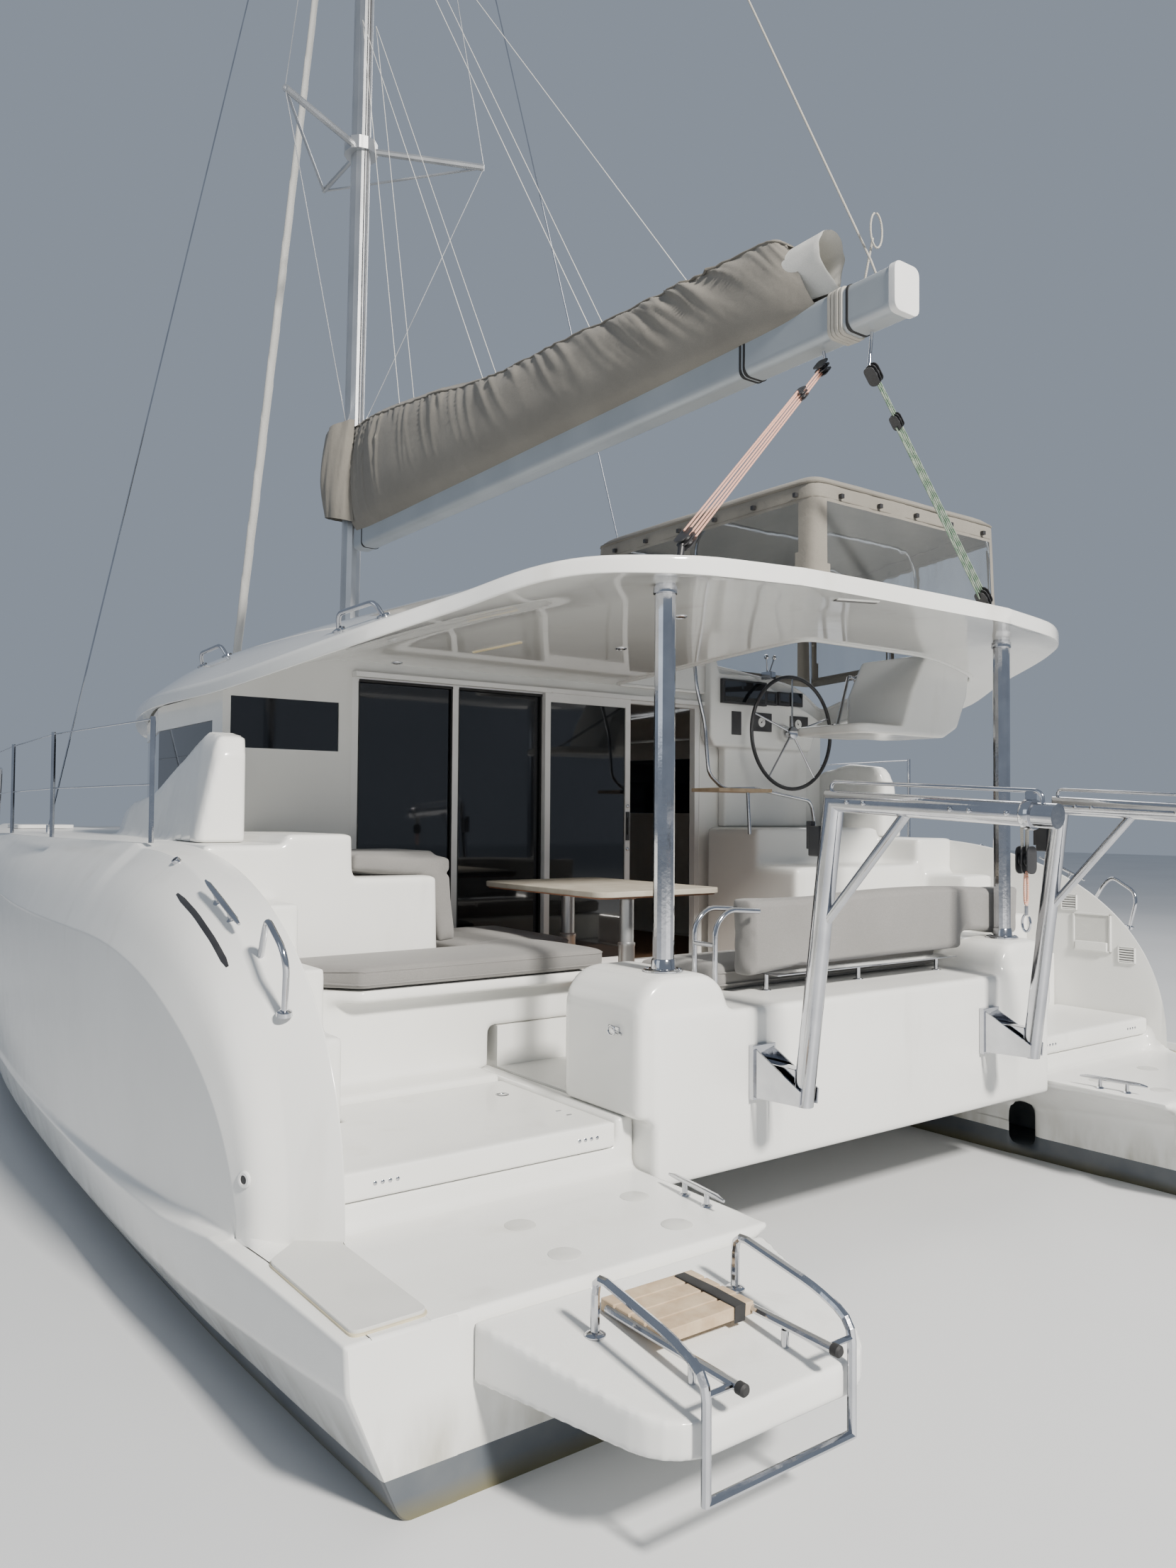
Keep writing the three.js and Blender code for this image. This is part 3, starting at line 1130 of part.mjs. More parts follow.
const ladderParts = [-1, 1].map((k) => {
  const x = beside(k, LADDER.rail);
  return tube([[x, pivotY - 40, pivotZ], [x, pivotY + LADDER.length, pivotZ]], LADDER.tube, 0, 8);
});
const [treadFrom, treadTo] = [beside(1, LADDER.rail), beside(-1, LADDER.rail)];
for (const y of [-5500, -5575, -5650, -5725])
  ladderParts.push(box(treadFrom, treadTo, y, y + 62, pivotZ - 14, pivotZ + 20));
place("swim_ladder", join(...ladderParts), STEEL);

export default boat;
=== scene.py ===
import math

import bmesh
import bpy
import numpy as np
from mathutils import Matrix, Vector, noise
from mathutils.bvhtree import BVHTree


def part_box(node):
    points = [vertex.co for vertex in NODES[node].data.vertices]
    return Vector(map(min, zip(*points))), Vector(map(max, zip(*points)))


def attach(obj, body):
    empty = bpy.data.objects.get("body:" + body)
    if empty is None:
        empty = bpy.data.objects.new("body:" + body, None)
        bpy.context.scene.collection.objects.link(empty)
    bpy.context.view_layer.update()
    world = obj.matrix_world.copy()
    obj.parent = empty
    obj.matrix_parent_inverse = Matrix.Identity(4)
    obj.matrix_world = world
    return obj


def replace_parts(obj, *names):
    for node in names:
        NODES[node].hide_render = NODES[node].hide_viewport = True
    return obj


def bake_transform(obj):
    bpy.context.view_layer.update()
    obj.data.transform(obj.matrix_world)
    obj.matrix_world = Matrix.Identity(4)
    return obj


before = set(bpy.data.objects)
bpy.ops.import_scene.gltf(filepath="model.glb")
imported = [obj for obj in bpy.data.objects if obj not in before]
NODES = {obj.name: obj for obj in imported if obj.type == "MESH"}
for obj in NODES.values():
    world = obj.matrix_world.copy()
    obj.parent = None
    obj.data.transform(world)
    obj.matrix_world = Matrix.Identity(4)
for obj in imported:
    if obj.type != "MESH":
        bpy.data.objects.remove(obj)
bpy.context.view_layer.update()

# Camera
IMAGE = (1659, 2212)
FOCAL_PX = 1572.0
SENSOR = 36
EYE = Vector((-4.436, -8.231, 2.03))
YAW, PITCH, ROLL = (math.radians(a) for a in (36.144, 1.635, 0.421))
X_AXIS, Y_AXIS, Z_AXIS = Vector((1, 0, 0)), Vector((0, 1, 0)), Vector((0, 0, 1))


def camera_axes():
    forward = Vector((math.cos(PITCH) * math.sin(YAW), math.cos(PITCH) * math.cos(YAW), math.sin(PITCH)))
    right = Vector((math.cos(YAW), -math.sin(YAW), 0))
    up = right.cross(forward)
    c, s = math.cos(ROLL), math.sin(ROLL)
    return right * c + up * s, up * c - right * s, forward


RIGHT, UP, FORWARD = camera_axes()


def linked(name, data):
    """A new object of some data, in the scene."""
    obj = bpy.data.objects.new(name, data)
    bpy.context.scene.collection.objects.link(obj)
    return obj


def add_camera():
    data = bpy.data.cameras.new("camera")
    data.sensor_width = SENSOR
    data.lens = FOCAL_PX * SENSOR / IMAGE[1]
    data.clip_start, data.clip_end = 0.05, 200
    cam = linked("camera", data)
    cam.matrix_world = Matrix.Translation(EYE) @ Matrix((RIGHT, UP, -FORWARD)).transposed().to_4x4()
    bpy.context.scene.camera = cam


add_camera()


def ray(u, v):
    """The direction from the camera through a pixel of the photograph's frame."""
    across, down = (u - IMAGE[0] / 2) / FOCAL_PX, (v - IMAGE[1] / 2) / FOCAL_PX
    return (FORWARD + RIGHT * across - UP * down).normalized()


# Materials

def new_material(name):
    material = bpy.data.materials.new(name)
    material.use_nodes = True
    tree = material.node_tree
    shader = next(n for n in tree.nodes if n.type == "BSDF_PRINCIPLED")
    return material, tree, shader


def put(tree, target, **values):
    """Sets a node's attributes and sockets by name; a socket given as a value is linked."""
    for key, value in values.items():
        if hasattr(target, key):
            setattr(target, key, value)
            continue
        socket = target.inputs[key.replace("_", " ")]
        if isinstance(value, bpy.types.NodeSocket):
            tree.links.new(value, socket)
        else:
            socket.default_value = value
    return target


def node(tree, kind, **values):
    return put(tree, tree.nodes.new(kind), **values)


def place_of(tree):
    return node(tree, "ShaderNodeTexCoord").outputs["Object"]


def ramp(tree, value, low, high):
    """A factor from 0 to 1 as the value goes from low to high."""
    return node(tree, "ShaderNodeMapRange", Value=value, From_Min=low, From_Max=high).outputs[0]


def spread(tree, factor, low, high):
    """A value from low to high as the factor goes from 0 to 1."""
    return node(tree, "ShaderNodeMapRange", Value=factor, To_Min=low, To_Max=high).outputs[0]


def patches(tree, scale, low, high, detail=5.0, stretch=(1, 1, 1)):
    """Noise between low and high, as a factor from 0 to 1."""
    mapped = node(tree, "ShaderNodeMapping", Vector=place_of(tree), Scale=stretch)
    made = node(tree, "ShaderNodeTexNoise", Vector=mapped.outputs[0], Scale=scale, Detail=detail)
    return ramp(tree, made.outputs[0], low, high)


def calculated(tree, operation, *values):
    """A math node on numbers and sockets."""
    made = node(tree, "ShaderNodeMath", operation=operation)
    for socket, value in zip(made.inputs, values):
        if isinstance(value, float):
            socket.default_value = value
        else:
            tree.links.new(value, socket)
    return made.outputs[0]


def blended(tree, factor, first, second):
    """A colour between two colours, each a tuple or a socket."""
    made = node(tree, "ShaderNodeMix", data_type="RGBA", Factor=factor)
    for socket, value in ((made.inputs[6], first), (made.inputs[7], second)):
        if isinstance(value, tuple):
            socket.default_value = (*value, 1)
        else:
            tree.links.new(value, socket)
    return made.outputs[2]


def add_bump(tree, shader, height, strength, distance):
    """A bump on top of the bumps that the shader already has."""
    made = node(tree, "ShaderNodeBump", Height=height, Strength=strength, Distance=distance)
    before = shader.inputs["Normal"].links
    if before:
        put(tree, made, Normal=before[0].from_socket)
    put(tree, shader, Normal=made.outputs[0])


def surface(name, colour, second, rough, metal=0.0, scale=3.0, rough_spread=0.08, grain=None, **sockets):
    """A finish whose colour drifts between two tones, with its own gloss drift and grain (scale, depth)."""
    material, tree, shader = new_material(name)
    drift = blended(tree, patches(tree, scale, 0.35, 0.68), colour, second)
    half = rough_spread / 2
    gloss = spread(tree, patches(tree, scale * 2.7, 0.2, 0.8), rough - half, rough + half)
    put(tree, shader, Base_Color=drift, Roughness=gloss, Metallic=metal, **sockets)
    if grain:
        add_bump(tree, shader, patches(tree, grain[0], 0.3, 0.7, 2.0), 0.5, grain[1])
    return material


def component(tree, source, axis):
    return node(tree, "ShaderNodeSeparateXYZ", Vector=source).outputs[axis]


BOOT_BAND_TOP = 0.135
GRIME, SLIME, STREAK = (0.30, 0.28, 0.21), (0.115, 0.105, 0.055), (0.48, 0.46, 0.41)
BAND_TONES = ((0.055, 0.066, 0.082), (0.095, 0.105, 0.115))


def waterline_marks(tree, colour, gloss):
    """Grime that fades upwards, and a boot band with slime at its foot."""
    height = component(tree, place_of(tree), 2)
    wave = calculated(tree, "MULTIPLY_ADD", patches(tree, 2.2, 0.2, 0.8), -0.035, height)
    line = calculated(tree, "LESS_THAN", height, BOOT_BAND_TOP)
    dirt = calculated(tree, "MULTIPLY", ramp(tree, wave, 0.34, 0.1),
                      patches(tree, 9.0, 0.35, 0.8, 8.0, (1, 1, 0.3)))
    colour = blended(tree, dirt, colour, GRIME)
    band = blended(tree, patches(tree, 5.0, 0.3, 0.7), *BAND_TONES)
    band = blended(tree, ramp(tree, wave, 0.05, -0.02), band, SLIME)
    return blended(tree, line, colour, band), calculated(tree, "ADD", gloss, spread(tree, line, 0.0, 0.45))


def gelcoat(name, tone=(0.79, 0.79, 0.765), worn=(0.71, 0.71, 0.685), waterline=False,
            gloss_range=(0.11, 0.24), coat=0.3):
    """Gelcoat with a fine non-slip grain where it faces up; a hull also carries its waterline marks."""
    material, tree, shader = new_material(name)
    colour = blended(tree, patches(tree, 1.3, 0.3, 0.75), tone, worn)
    streaks = calculated(tree, "MULTIPLY", patches(tree, 4.0, 0.62, 0.85, 6.0, (1, 1, 0.25)), 0.45)
    colour = blended(tree, streaks, colour, STREAK)
    gloss = spread(tree, patches(tree, 6.0, 0.2, 0.8), *gloss_range)
    if waterline:
        colour, gloss = waterline_marks(tree, colour, gloss)
    normal = node(tree, "ShaderNodeNewGeometry").outputs["Normal"]
    upward = ramp(tree, component(tree, normal, 2), 0.93, 0.97)
    matt = calculated(tree, "ADD", calculated(tree, "MULTIPLY", upward, 0.3), gloss)
    put(tree, shader, Base_Color=colour, Roughness=matt, Coat_Weight=coat, Coat_Roughness=0.08)
    grains = node(tree, "ShaderNodeTexVoronoi", Vector=place_of(tree), Scale=260.0).outputs["Distance"]
    add_bump(tree, shader, calculated(tree, "MULTIPLY", grains, upward), 0.35, 0.0012)
    add_bump(tree, shader, patches(tree, 7.0, 0.2, 0.8, 2.0), 0.12, 0.002)
    return material


def waves(tree, direction, scale, distortion):
    made = node(tree, "ShaderNodeTexWave", Vector=place_of(tree), bands_direction=direction, Scale=scale,
                Distortion=distortion)
    return made.outputs[1]


def woven(name, light, dark, thread=1400.0, sheen=0.25, rough=0.9, folds=None):
    """Woven cloth: fine crossing threads, mottled colour and soft sheen."""
    material, tree, shader = new_material(name)
    colour = blended(tree, patches(tree, 2.4, 0.3, 0.72), light, dark)
    fleck = calculated(tree, "MULTIPLY", patches(tree, 420.0, 0.4, 0.62, 2.0), 0.55)
    colour = blended(tree, fleck, colour, tuple(c * 0.72 for c in dark))
    for direction in ("X", "Y", "Z"):
        add_bump(tree, shader, waves(tree, direction, thread / 4, 1.5), 0.3, 0.0004)
    if folds:
        add_bump(tree, shader, patches(tree, folds, 0.3, 0.7, 3.0), 0.35, 0.006)
    put(tree, shader, Base_Color=colour, Roughness=rough, Sheen_Weight=sheen, Sheen_Roughness=0.5)
    return material


def planked(name, light, dark, seam, width):
    """Teak laid in planks along the boat with dark caulking between them."""
    material, tree, shader = new_material(name)
    grain = patches(tree, 9.0, 0.3, 0.7, 8.0, (14, 1, 14))
    across = calculated(tree, "DIVIDE", component(tree, place_of(tree), 0), width)
    gap = calculated(tree, "LESS_THAN", calculated(tree, "FRACT", across), 0.09)
    put(tree, shader, Base_Color=blended(tree, gap, blended(tree, grain, light, dark), seam), Roughness=0.72)
    add_bump(tree, shader, gap, 0.6, -0.001)
    add_bump(tree, shader, grain, 0.3, 0.0008)
    return material


def braided(name, colour, second):
    """Rope: slanting strands and a fleck of the second colour."""
    material, tree, shader = new_material(name)
    strands = waves(tree, "DIAGONAL", 90.0, 3.0)
    put(tree, shader, Base_Color=blended(tree, strands, colour, second), Roughness=0.85)
    add_bump(tree, shader, strands, 0.7, 0.0012)
    return material


def clear_sheet(name, clear, hazy):
    """Clear sheet, a little hazy and rippled."""
    material, tree, shader = new_material(name)
    haze = patches(tree, 3.0, 0.3, 0.75, 4.0, (1, 1, 0.3))
    put(tree, shader, Base_Color=blended(tree, haze, clear, hazy), Roughness=spread(tree, haze, 0.03, 0.16),
        Transmission_Weight=0.93, IOR=1.12)
    add_bump(tree, shader, patches(tree, 5.0, 0.2, 0.8, 2.0), 0.5, 0.006)
    return material


WHITE = gelcoat("gelcoat_white")
HULL_WHITE = gelcoat("gelcoat_hull", waterline=True)
PANEL_WHITE = gelcoat("gelcoat_satin", (0.60, 0.60, 0.575), (0.54, 0.54, 0.515), gloss_range=(0.2, 0.32))
# Darker, greyer gelcoat for the hull side's panel: painted shade on the panel
SHADED_SIDE_WHITE = gelcoat("gelcoat_side_painted_shade", (0.53, 0.525, 0.49), (0.47, 0.465, 0.43), gloss_range=(0.12, 0.24))
ROOF_WHITE = gelcoat("gelcoat_gloss", gloss_range=(0.03, 0.08), coat=0.8)

# Surfaces: two tones, roughness, metal, patch scale, gloss drift, grain
STEEL = surface("stainless", (0.58, 0.59, 0.62), (0.47, 0.48, 0.51), 0.11, 1.0, 7.0, 0.08, (60.0, 0.0002))
ALLOY = surface("anodised", (0.62, 0.63, 0.64), (0.5, 0.51, 0.52), 0.38, 0.9, 2.0, 0.1, (220.0, 0.0002))
SPAR = surface("spar_grey", (0.42, 0.455, 0.48), (0.36, 0.39, 0.415), 0.34, 0.35, 1.5, 0.1, (220.0, 0.0002))
COATED = surface("coated_white", (0.78, 0.78, 0.77), (0.68, 0.68, 0.67), 0.32, 0.0, 2.0, 0.1, (180.0, 0.0002))
BLACK = surface("black_plastic", (0.018, 0.018, 0.02), (0.032, 0.032, 0.034), 0.42, 0.0, 8.0, 0.12,
                (300.0, 0.0003))
RUBBER = surface("black_rubber", (0.012, 0.012, 0.013), (0.025, 0.025, 0.025), 0.7, 0.0, 9.0, 0.1,
                 (500.0, 0.0004))
SCREEN = surface("screen", (0.006, 0.007, 0.009), (0.01, 0.011, 0.014), 0.06, 0.0, 5.0, 0.02, Coat_Weight=1.0)
GLASS = surface("dark_glass", (0.008, 0.009, 0.011), (0.014, 0.015, 0.018), 0.04, 0.0, 1.5, 0.03,
                Coat_Weight=0.6, Transmission_Weight=0.35)
TEAK = planked("teak_sole", (0.27, 0.155, 0.085), (0.19, 0.105, 0.055), (0.02, 0.018, 0.016), 0.055)
PALE_TEAK = surface("teak_steps", (0.52, 0.40, 0.27), (0.40, 0.29, 0.18), 0.7, 0.0, 14.0, 0.1,
                    (120.0, 0.0008))
TABLE_TOP = surface("teak_table", (0.42, 0.385, 0.32), (0.34, 0.30, 0.24), 0.62, 0.0, 9.0, 0.1,
                    (150.0, 0.0006))
RED_TEAK = surface("teak_edge", (0.33, 0.15, 0.08), (0.24, 0.1, 0.05), 0.6, 0.0, 15.0, 0.1)
ANTIFOUL = surface("antifouling", (0.075, 0.088, 0.105), (0.05, 0.06, 0.065), 0.75, 0.0, 6.0, 0.1,
                   (90.0, 0.001))
BRONZE = surface("bronze", (0.42, 0.29, 0.12), (0.25, 0.2, 0.11), 0.42, 1.0, 12.0, 0.2, (140.0, 0.0005))
ENGINE = surface("engine_paint", (0.3, 0.32, 0.34), (0.2, 0.22, 0.23), 0.5, 0.3, 9.0, 0.15, (80.0, 0.0008))
CREAM = surface("cream_edge", (0.62, 0.55, 0.38), (0.5, 0.44, 0.31), 0.5, 0.0, 12.0, 0.1)
WARM = surface("lamp_cover", (0.9, 0.78, 0.5), (0.85, 0.7, 0.42), 0.35, 0.0, 10.0, 0.1)
DIAL = surface("dial_face", (0.75, 0.75, 0.72), (0.6, 0.6, 0.58), 0.3, 0.0, 60.0, 0.1)
SHADE = surface("vent_shade", (0.16, 0.16, 0.155), (0.1, 0.1, 0.1), 0.8, 0.0, 20.0, 0.1)
VINYL = clear_sheet("clear_vinyl", (0.80, 0.84, 0.86), (0.62, 0.67, 0.71))

# Cloth: two tones, threads in a metre, sheen, roughness, scale of the folds
SEAT_CLOTH = woven("seat_cloth", (0.245, 0.238, 0.228), (0.20, 0.194, 0.186))
CANVAS = woven("cover_canvas", (0.245, 0.228, 0.195), (0.19, 0.175, 0.15), 1000.0, 0.12, 0.82, 9.0)
BINDING = woven("canvas_binding", (0.18, 0.166, 0.14), (0.145, 0.132, 0.11), 1000.0, 0.1, 0.85)
SAILCLOTH = woven("sailcloth", (0.74, 0.73, 0.69), (0.62, 0.61, 0.57), 900.0, 0.05, 0.75, 6.0)
NET = woven("net", (0.05, 0.052, 0.056), (0.03, 0.032, 0.035), 160.0, 0.0, 0.9)
ROPE_GREY = braided("rope_grey", (0.48, 0.46, 0.41), (0.34, 0.32, 0.28))
ROPE_RED = braided("rope_red", (0.58, 0.17, 0.08), (0.62, 0.5, 0.42))
ROPE_GREEN = braided("rope_green", (0.07, 0.15, 0.09), (0.3, 0.33, 0.28))

# Mesh helpers

SIDES = (("port", -1), ("starboard", 1))
shown = {}


def finish(obj, material, body="root", slot=None, angle=40):
    """Gives a new piece its finish and lets it ride on a body."""
    obj.data.materials.clear()
    obj.data.materials.append(material)
    obj.data.shade_smooth()
    obj.data.set_sharp_from_angle(angle=math.radians(angle))
    if body:
        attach(obj, body)
    shown[obj.name] = obj
    return obj


def mesh_of(name, bm):
    mesh = bpy.data.meshes.new(name)
    bm.to_mesh(mesh)
    bm.free()
    return mesh


def from_bmesh(name, bm, material, **more):
    bmesh.ops.recalc_face_normals(bm, faces=bm.faces)
    return finish(linked(name, mesh_of(name, bm)), material, **more)


def piece(name, material, *parts, **more):
    """One piece made of parts, each a builder and what it needs, such as (bar, line, radius)."""
    bm = bmesh.new()
    for build, *values in parts:
        build(bm, *values)
    return from_bmesh(name, bm, material, **more)


def baked(obj):
    """Applies the modifiers of an object to its mesh."""
    bpy.context.view_layer.update()
    graph = bpy.context.evaluated_depsgraph_get()
    mesh = bpy.data.meshes.new_from_object(obj.evaluated_get(graph))
    obj.modifiers.clear()
    obj.data = mesh
    return obj


def modified(obj, kind, **values):
    made = obj.modifiers.new(kind.lower(), kind)
    for key, value in values.items():
        setattr(made, key, value)


def circle(count, closed=False):
    """Angles evenly round a circle; a closed one ends where it starts."""
    return [2 * math.pi * k / count for k in range(count + closed)]


def skinned(bm, rings, closed=True, ends=True):
    """Faces between rings with the same number of vertices, and over the first and the last."""
    n = len(rings[0])
    for a, b in zip(rings, rings[1:]):
        for k in range(n if closed else n - 1):
            bm.faces.new((a[k], a[(k + 1) % n], b[(k + 1) % n], b[k]))
    if ends:
        bm.faces.new(rings[0][::-1])
        bm.faces.new(rings[-1])


def bar(bm, points, radius, sides=10, flat=1.0):
    """A round or flattened bar along points; radius is one number or one for each point."""
    points = [Vector(p) for p in points]
    radii = radius if isinstance(radius, (list, tuple)) else [radius] * len(points)
    tangent = (points[1] - points[0]).normalized()
    upright = abs(tangent.z) >= 0.95
    normal = tangent.orthogonal().normalized() if upright else (Z_AXIS - tangent * tangent.z).normalized()
    rings = []
    for i, p in enumerate(points):
        into = (p - points[i - 1]).normalized() if i else tangent
        out = (points[i + 1] - p).normalized() if i < len(points) - 1 else into
        along = (into + out).normalized()
        normal = (normal - along * normal.dot(along)).normalized()
        side = along.cross(normal)
        reach = radii[i] * min(1 / max(0.5, along.dot(into)), 1.25)
        ring = [p + (normal * math.cos(a) * flat + side * math.sin(a)) * reach for a in circle(sides)]
        rings.append([bm.verts.new(q) for q in ring])
    skinned(bm, rings)


def fillet(before, p, after, radius, steps, share):
    """Points that round a corner; the bend takes no more than one part in share of either side."""
    back, on = before - p, after - p
    r = min(radius, back.length / share, on.length / share)
    start, end = p + back.normalized() * r, p + on.normalized() * r
    places = [k / steps for k in range(steps + 1)]
    return [start * (1 - t) ** 2 + p * (2 * t * (1 - t)) + end * t * t for t in places]


def rounded(points, radius, steps=5):
    """The corners of a line of points rounded by a bend radius."""
    points = [Vector(p) for p in points]
    line = [points[0]]
    for before, p, after in zip(points, points[1:], points[2:]):
        line += fillet(before, p, after, radius, steps, 2.1)
    return line + [points[-1]]


def corners(points, radius, steps=5):
    """A closed outline in a plane with its corners rounded; radius is one number or one for each point."""
    line = []
    n = len(points)
    radii = radius if isinstance(radius, (list, tuple)) else [radius] * n
    for i in range(n):
        before, p, after = (Vector(points[(i + k - 1) % n]) for k in range(3))
        line += [(q.x, q.y) for q in fillet(before, p, after, radii[i], steps, 2.05)]
    return line


def block(bm, low, high, bevel=0.0):
    """A box between two corners with rounded edges."""
    low, high = Vector(low), Vector(high)
    made = bmesh.ops.create_cube(bm, size=1.0, matrix=Matrix.Diagonal((*(high - low), 1)))["verts"]
    if bevel:
        edges = list({e for v in made for e in v.link_edges})
        made = bmesh.ops.bevel(bm, geom=edges, offset=bevel, segments=3, profile=0.7, affect="EDGES")["verts"]
    bmesh.ops.transform(bm, matrix=Matrix.Translation((low + high) / 2), verts=made)


def turned(bm, profile, base, axis=(0, 0, 1), sides=24):
    """A turned form: profile is (radius, height) from end to end, height along the axis from base."""
    turn = Vector(axis).normalized().to_track_quat("Z", "Y").to_matrix()
    base = Vector(base)
    rings = []
    for radius, height in profile:
        angles = circle(sides) if radius else [0.0]
        ring = [Vector((radius * math.cos(a), radius * math.sin(a), height)) for a in angles]
        rings.append([bm.verts.new(base + turn @ p) for p in ring])
    for a, b in zip(rings, rings[1:]):
        for k in range(sides):
            j = (k + 1) % sides
            face = [a[k % len(a)], a[j % len(a)], b[j % len(b)], b[k % len(b)]]
            bm.faces.new(list(dict.fromkeys(face)))


def extruded(bm, outline, low, high, axes=(0, 1, 2), bevel=0.0):
    """An outline in two axes, pushed along the third from low to high, with its edges rounded."""
    def at(p, height):
        place = dict(zip(axes, (*p[:2], height)))
        return [place[axis] for axis in range(3)]

    rings = [[bm.verts.new(at(p, height)) for p in outline] for height in (low, high)]
    n = len(outline)
    faces = [bm.faces.new(rings[0][::-1]), bm.faces.new(rings[1])]
    for k in range(n):
        faces.append(bm.faces.new((rings[0][k], rings[0][(k + 1) % n], rings[1][(k + 1) % n], rings[1][k])))
    if bevel:
        bmesh.ops.recalc_face_normals(bm, faces=faces)
        edges = [e for f in faces[:2] for e in f.edges]
        bmesh.ops.bevel(bm, geom=edges, offset=bevel, segments=3, profile=0.7, affect="EDGES")


def loft(name, rings, material, closed=True, ends=True, **more):
    """A skin over rings with the same number of points."""
    bm = bmesh.new()
    skinned(bm, [[bm.verts.new(p) for p in ring] for ring in rings], closed, ends)
    return from_bmesh(name, bm, material, **more)


def limited(value):
    return min(1, max(0, value))


def smooth_table(rows, at, column):
    """A column of a table between its rows, smoothly."""
    keys = [row[0] for row in rows]
    values = [row[column] for row in rows]
    last = len(keys) - 1
    i = max(1, min(last, next((k for k, key in enumerate(keys) if key >= at), last)))
    near = [(max(k - 1, 0), min(k + 1, last)) for k in (i - 1, i)]
    slopes = [(values[after] - values[before]) / (keys[after] - keys[before]) for before, after in near]
    span = keys[i] - keys[i - 1]
    t = limited((at - keys[i - 1]) / span)
    a, b = values[i - 1], values[i]
    return ((2 * t ** 3 - 3 * t * t + 1) * a + (3 * t * t - 2 * t ** 3) * b
            + (t ** 3 - 2 * t * t + t) * slopes[0] * span + (t ** 3 - t * t) * slopes[1] * span)


# Gelcoat forms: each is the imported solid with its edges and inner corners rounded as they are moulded

FACES_KEPT = 0.58
MOULD_ANGLE = 60


def reshaped(obj, change):
    """Changes the mesh of an object by a function of its bmesh."""
    bm = bmesh.new()
    bm.from_mesh(obj.data)
    change(bm)
    bm.to_mesh(obj.data)
    bm.free()


def copy_of(name, suffix="_form"):
    obj = linked(name + suffix, NODES[name].data.copy())
    reshaped(obj, lambda bm: bmesh.ops.remove_doubles(bm, verts=bm.verts, dist=1e-5))
    return obj


def soften(obj, voxel, rounds, kept=FACES_KEPT):
    modified(obj, "REMESH", mode="VOXEL", voxel_size=voxel)
    modified(obj, "SMOOTH", factor=0.5, iterations=rounds)
    if kept < 1:
        modified(obj, "DECIMATE", ratio=kept)
    return baked(obj)


# Name, voxel size, rounds of smoothing, body
FORMS = (
    ("cockpit_moulding_port", 0.016, 11, "root"),
    ("cockpit_moulding_starboard", 0.022, 6, "root"),
    ("aft_beam", 0.018, 5, "root"),
    ("locker_lid_port", 0.012, 3, "locker_lid_port"),
    ("locker_lid_starboard", 0.016, 3, "locker_lid_starboard"),
    ("swim_platform_port", 0.012, 4, "root"),
    ("swim_platform_starboard", 0.018, 4, "root"),
    ("helm_console", 0.014, 3, "root"),
    ("helm_seat", 0.014, 5, "root"),
)
for name, voxel, rounds, body in FORMS:
    form = soften(copy_of(name), voxel, rounds)
    finish(form, WHITE, body, "gelcoat", MOULD_ANGLE)
    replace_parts(form, name)

# Hulls: the after part's outer side is its own crisp skin; the rest is moulded from the solid
HULL_SPLIT_Y = 1.0
OVERLAP = 0.12
SEAM_X = 2.822


def cut(bm, place, way, **cleared):
    geom = bm.verts[:] + bm.edges[:] + bm.faces[:]
    bmesh.ops.bisect_plane(bm, geom=geom, plane_co=place, plane_no=way, **cleared)


def hull_piece(name, side, aft, voxel, rounds):
    """The hull aft or forward of the split; the aft one is without its outer side."""
    def split(bm):
        cut(bm, (0, HULL_SPLIT_Y + OVERLAP * aft, 0), Y_AXIS, clear_outer=aft, clear_inner=not aft)
        bmesh.ops.holes_fill(bm, edges=[e for e in bm.edges if e.is_boundary])

    obj = copy_of(name, "_aft" if aft else "_fore")
    reshaped(obj, split)
    soften(obj, voxel, rounds)
    if aft:
        reshaped(obj, lambda bm: cut(bm, (side * SEAM_X, 0, 0), (side, 0, 0), clear_outer=True))
    finish(obj, HULL_WHITE, slot="gelcoat", angle=MOULD_ANGLE)
    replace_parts(obj, name)


# y, top z, top x, ledge, knuckle x, knuckle z, chine x, chine z, waterline x, bilge x, bilge z
HULL_SECTIONS = (
    (-5.3, 1.9, 3.0, 0.075, 3.12, 0.545, 3.112, 0.4, 2.94, 2.76, -0.06),
    (-4.65, 1.9, 3.09, 0.065, 3.15, 0.58, 3.14, 0.33, 2.98, 2.8, -0.13),
    (-3.7, 1.885, 3.215, 0.045, 3.21, 0.48, 3.18, 0.26, 3.02, 2.85, -0.21),
    (-2.0, 1.88, 3.262, 0.008, 3.24, 0.43, 3.19, 0.21, 3.04, 2.86, -0.28),
    (0.0, 1.88, 3.258, 0.0, 3.205, 0.43, 3.15, 0.21, 3.0, 2.82, -0.32),
    (1.8, 1.875, 3.19, 0.0, 3.09, 0.48, 3.01, 0.23, 2.87, 2.72, -0.32),
)
STERN_DECK_Z = 0.547
TRANSOM_Y = -5.3
SIDE_DECK_Z = 1.88
ARCH_START_Y = -2.5
ARCH_POWER = 2 / 2.4
# The bulwark's three lines from inboard to outboard: x, y of the foot, height at the top
BULWARK_INNER_X = 2.817
ARCH_LINES = ((BULWARK_INNER_X, -4.62, 1.881), (2.975, -4.50, 1.855), (3.205, -4.345, 1.47))
GUNWALE_ACROSS, GUNWALE_DEPTH = 0.15, 0.13
GUNWALE_BULGE = (0.040, -0.022, 0.030)
SIDE_BELLY, LEDGE_RISE = 0.025, 0.035
PANEL_DEPTH, PANEL_STEP, PANEL_LOW_Z = 0.012, 0.014, 0.62
SEAM_LAP, SKIRT = 0.06, 0.25
ARCH_COLUMNS, FORE_COLUMNS, STERN_COLUMNS = 72, 48, 22


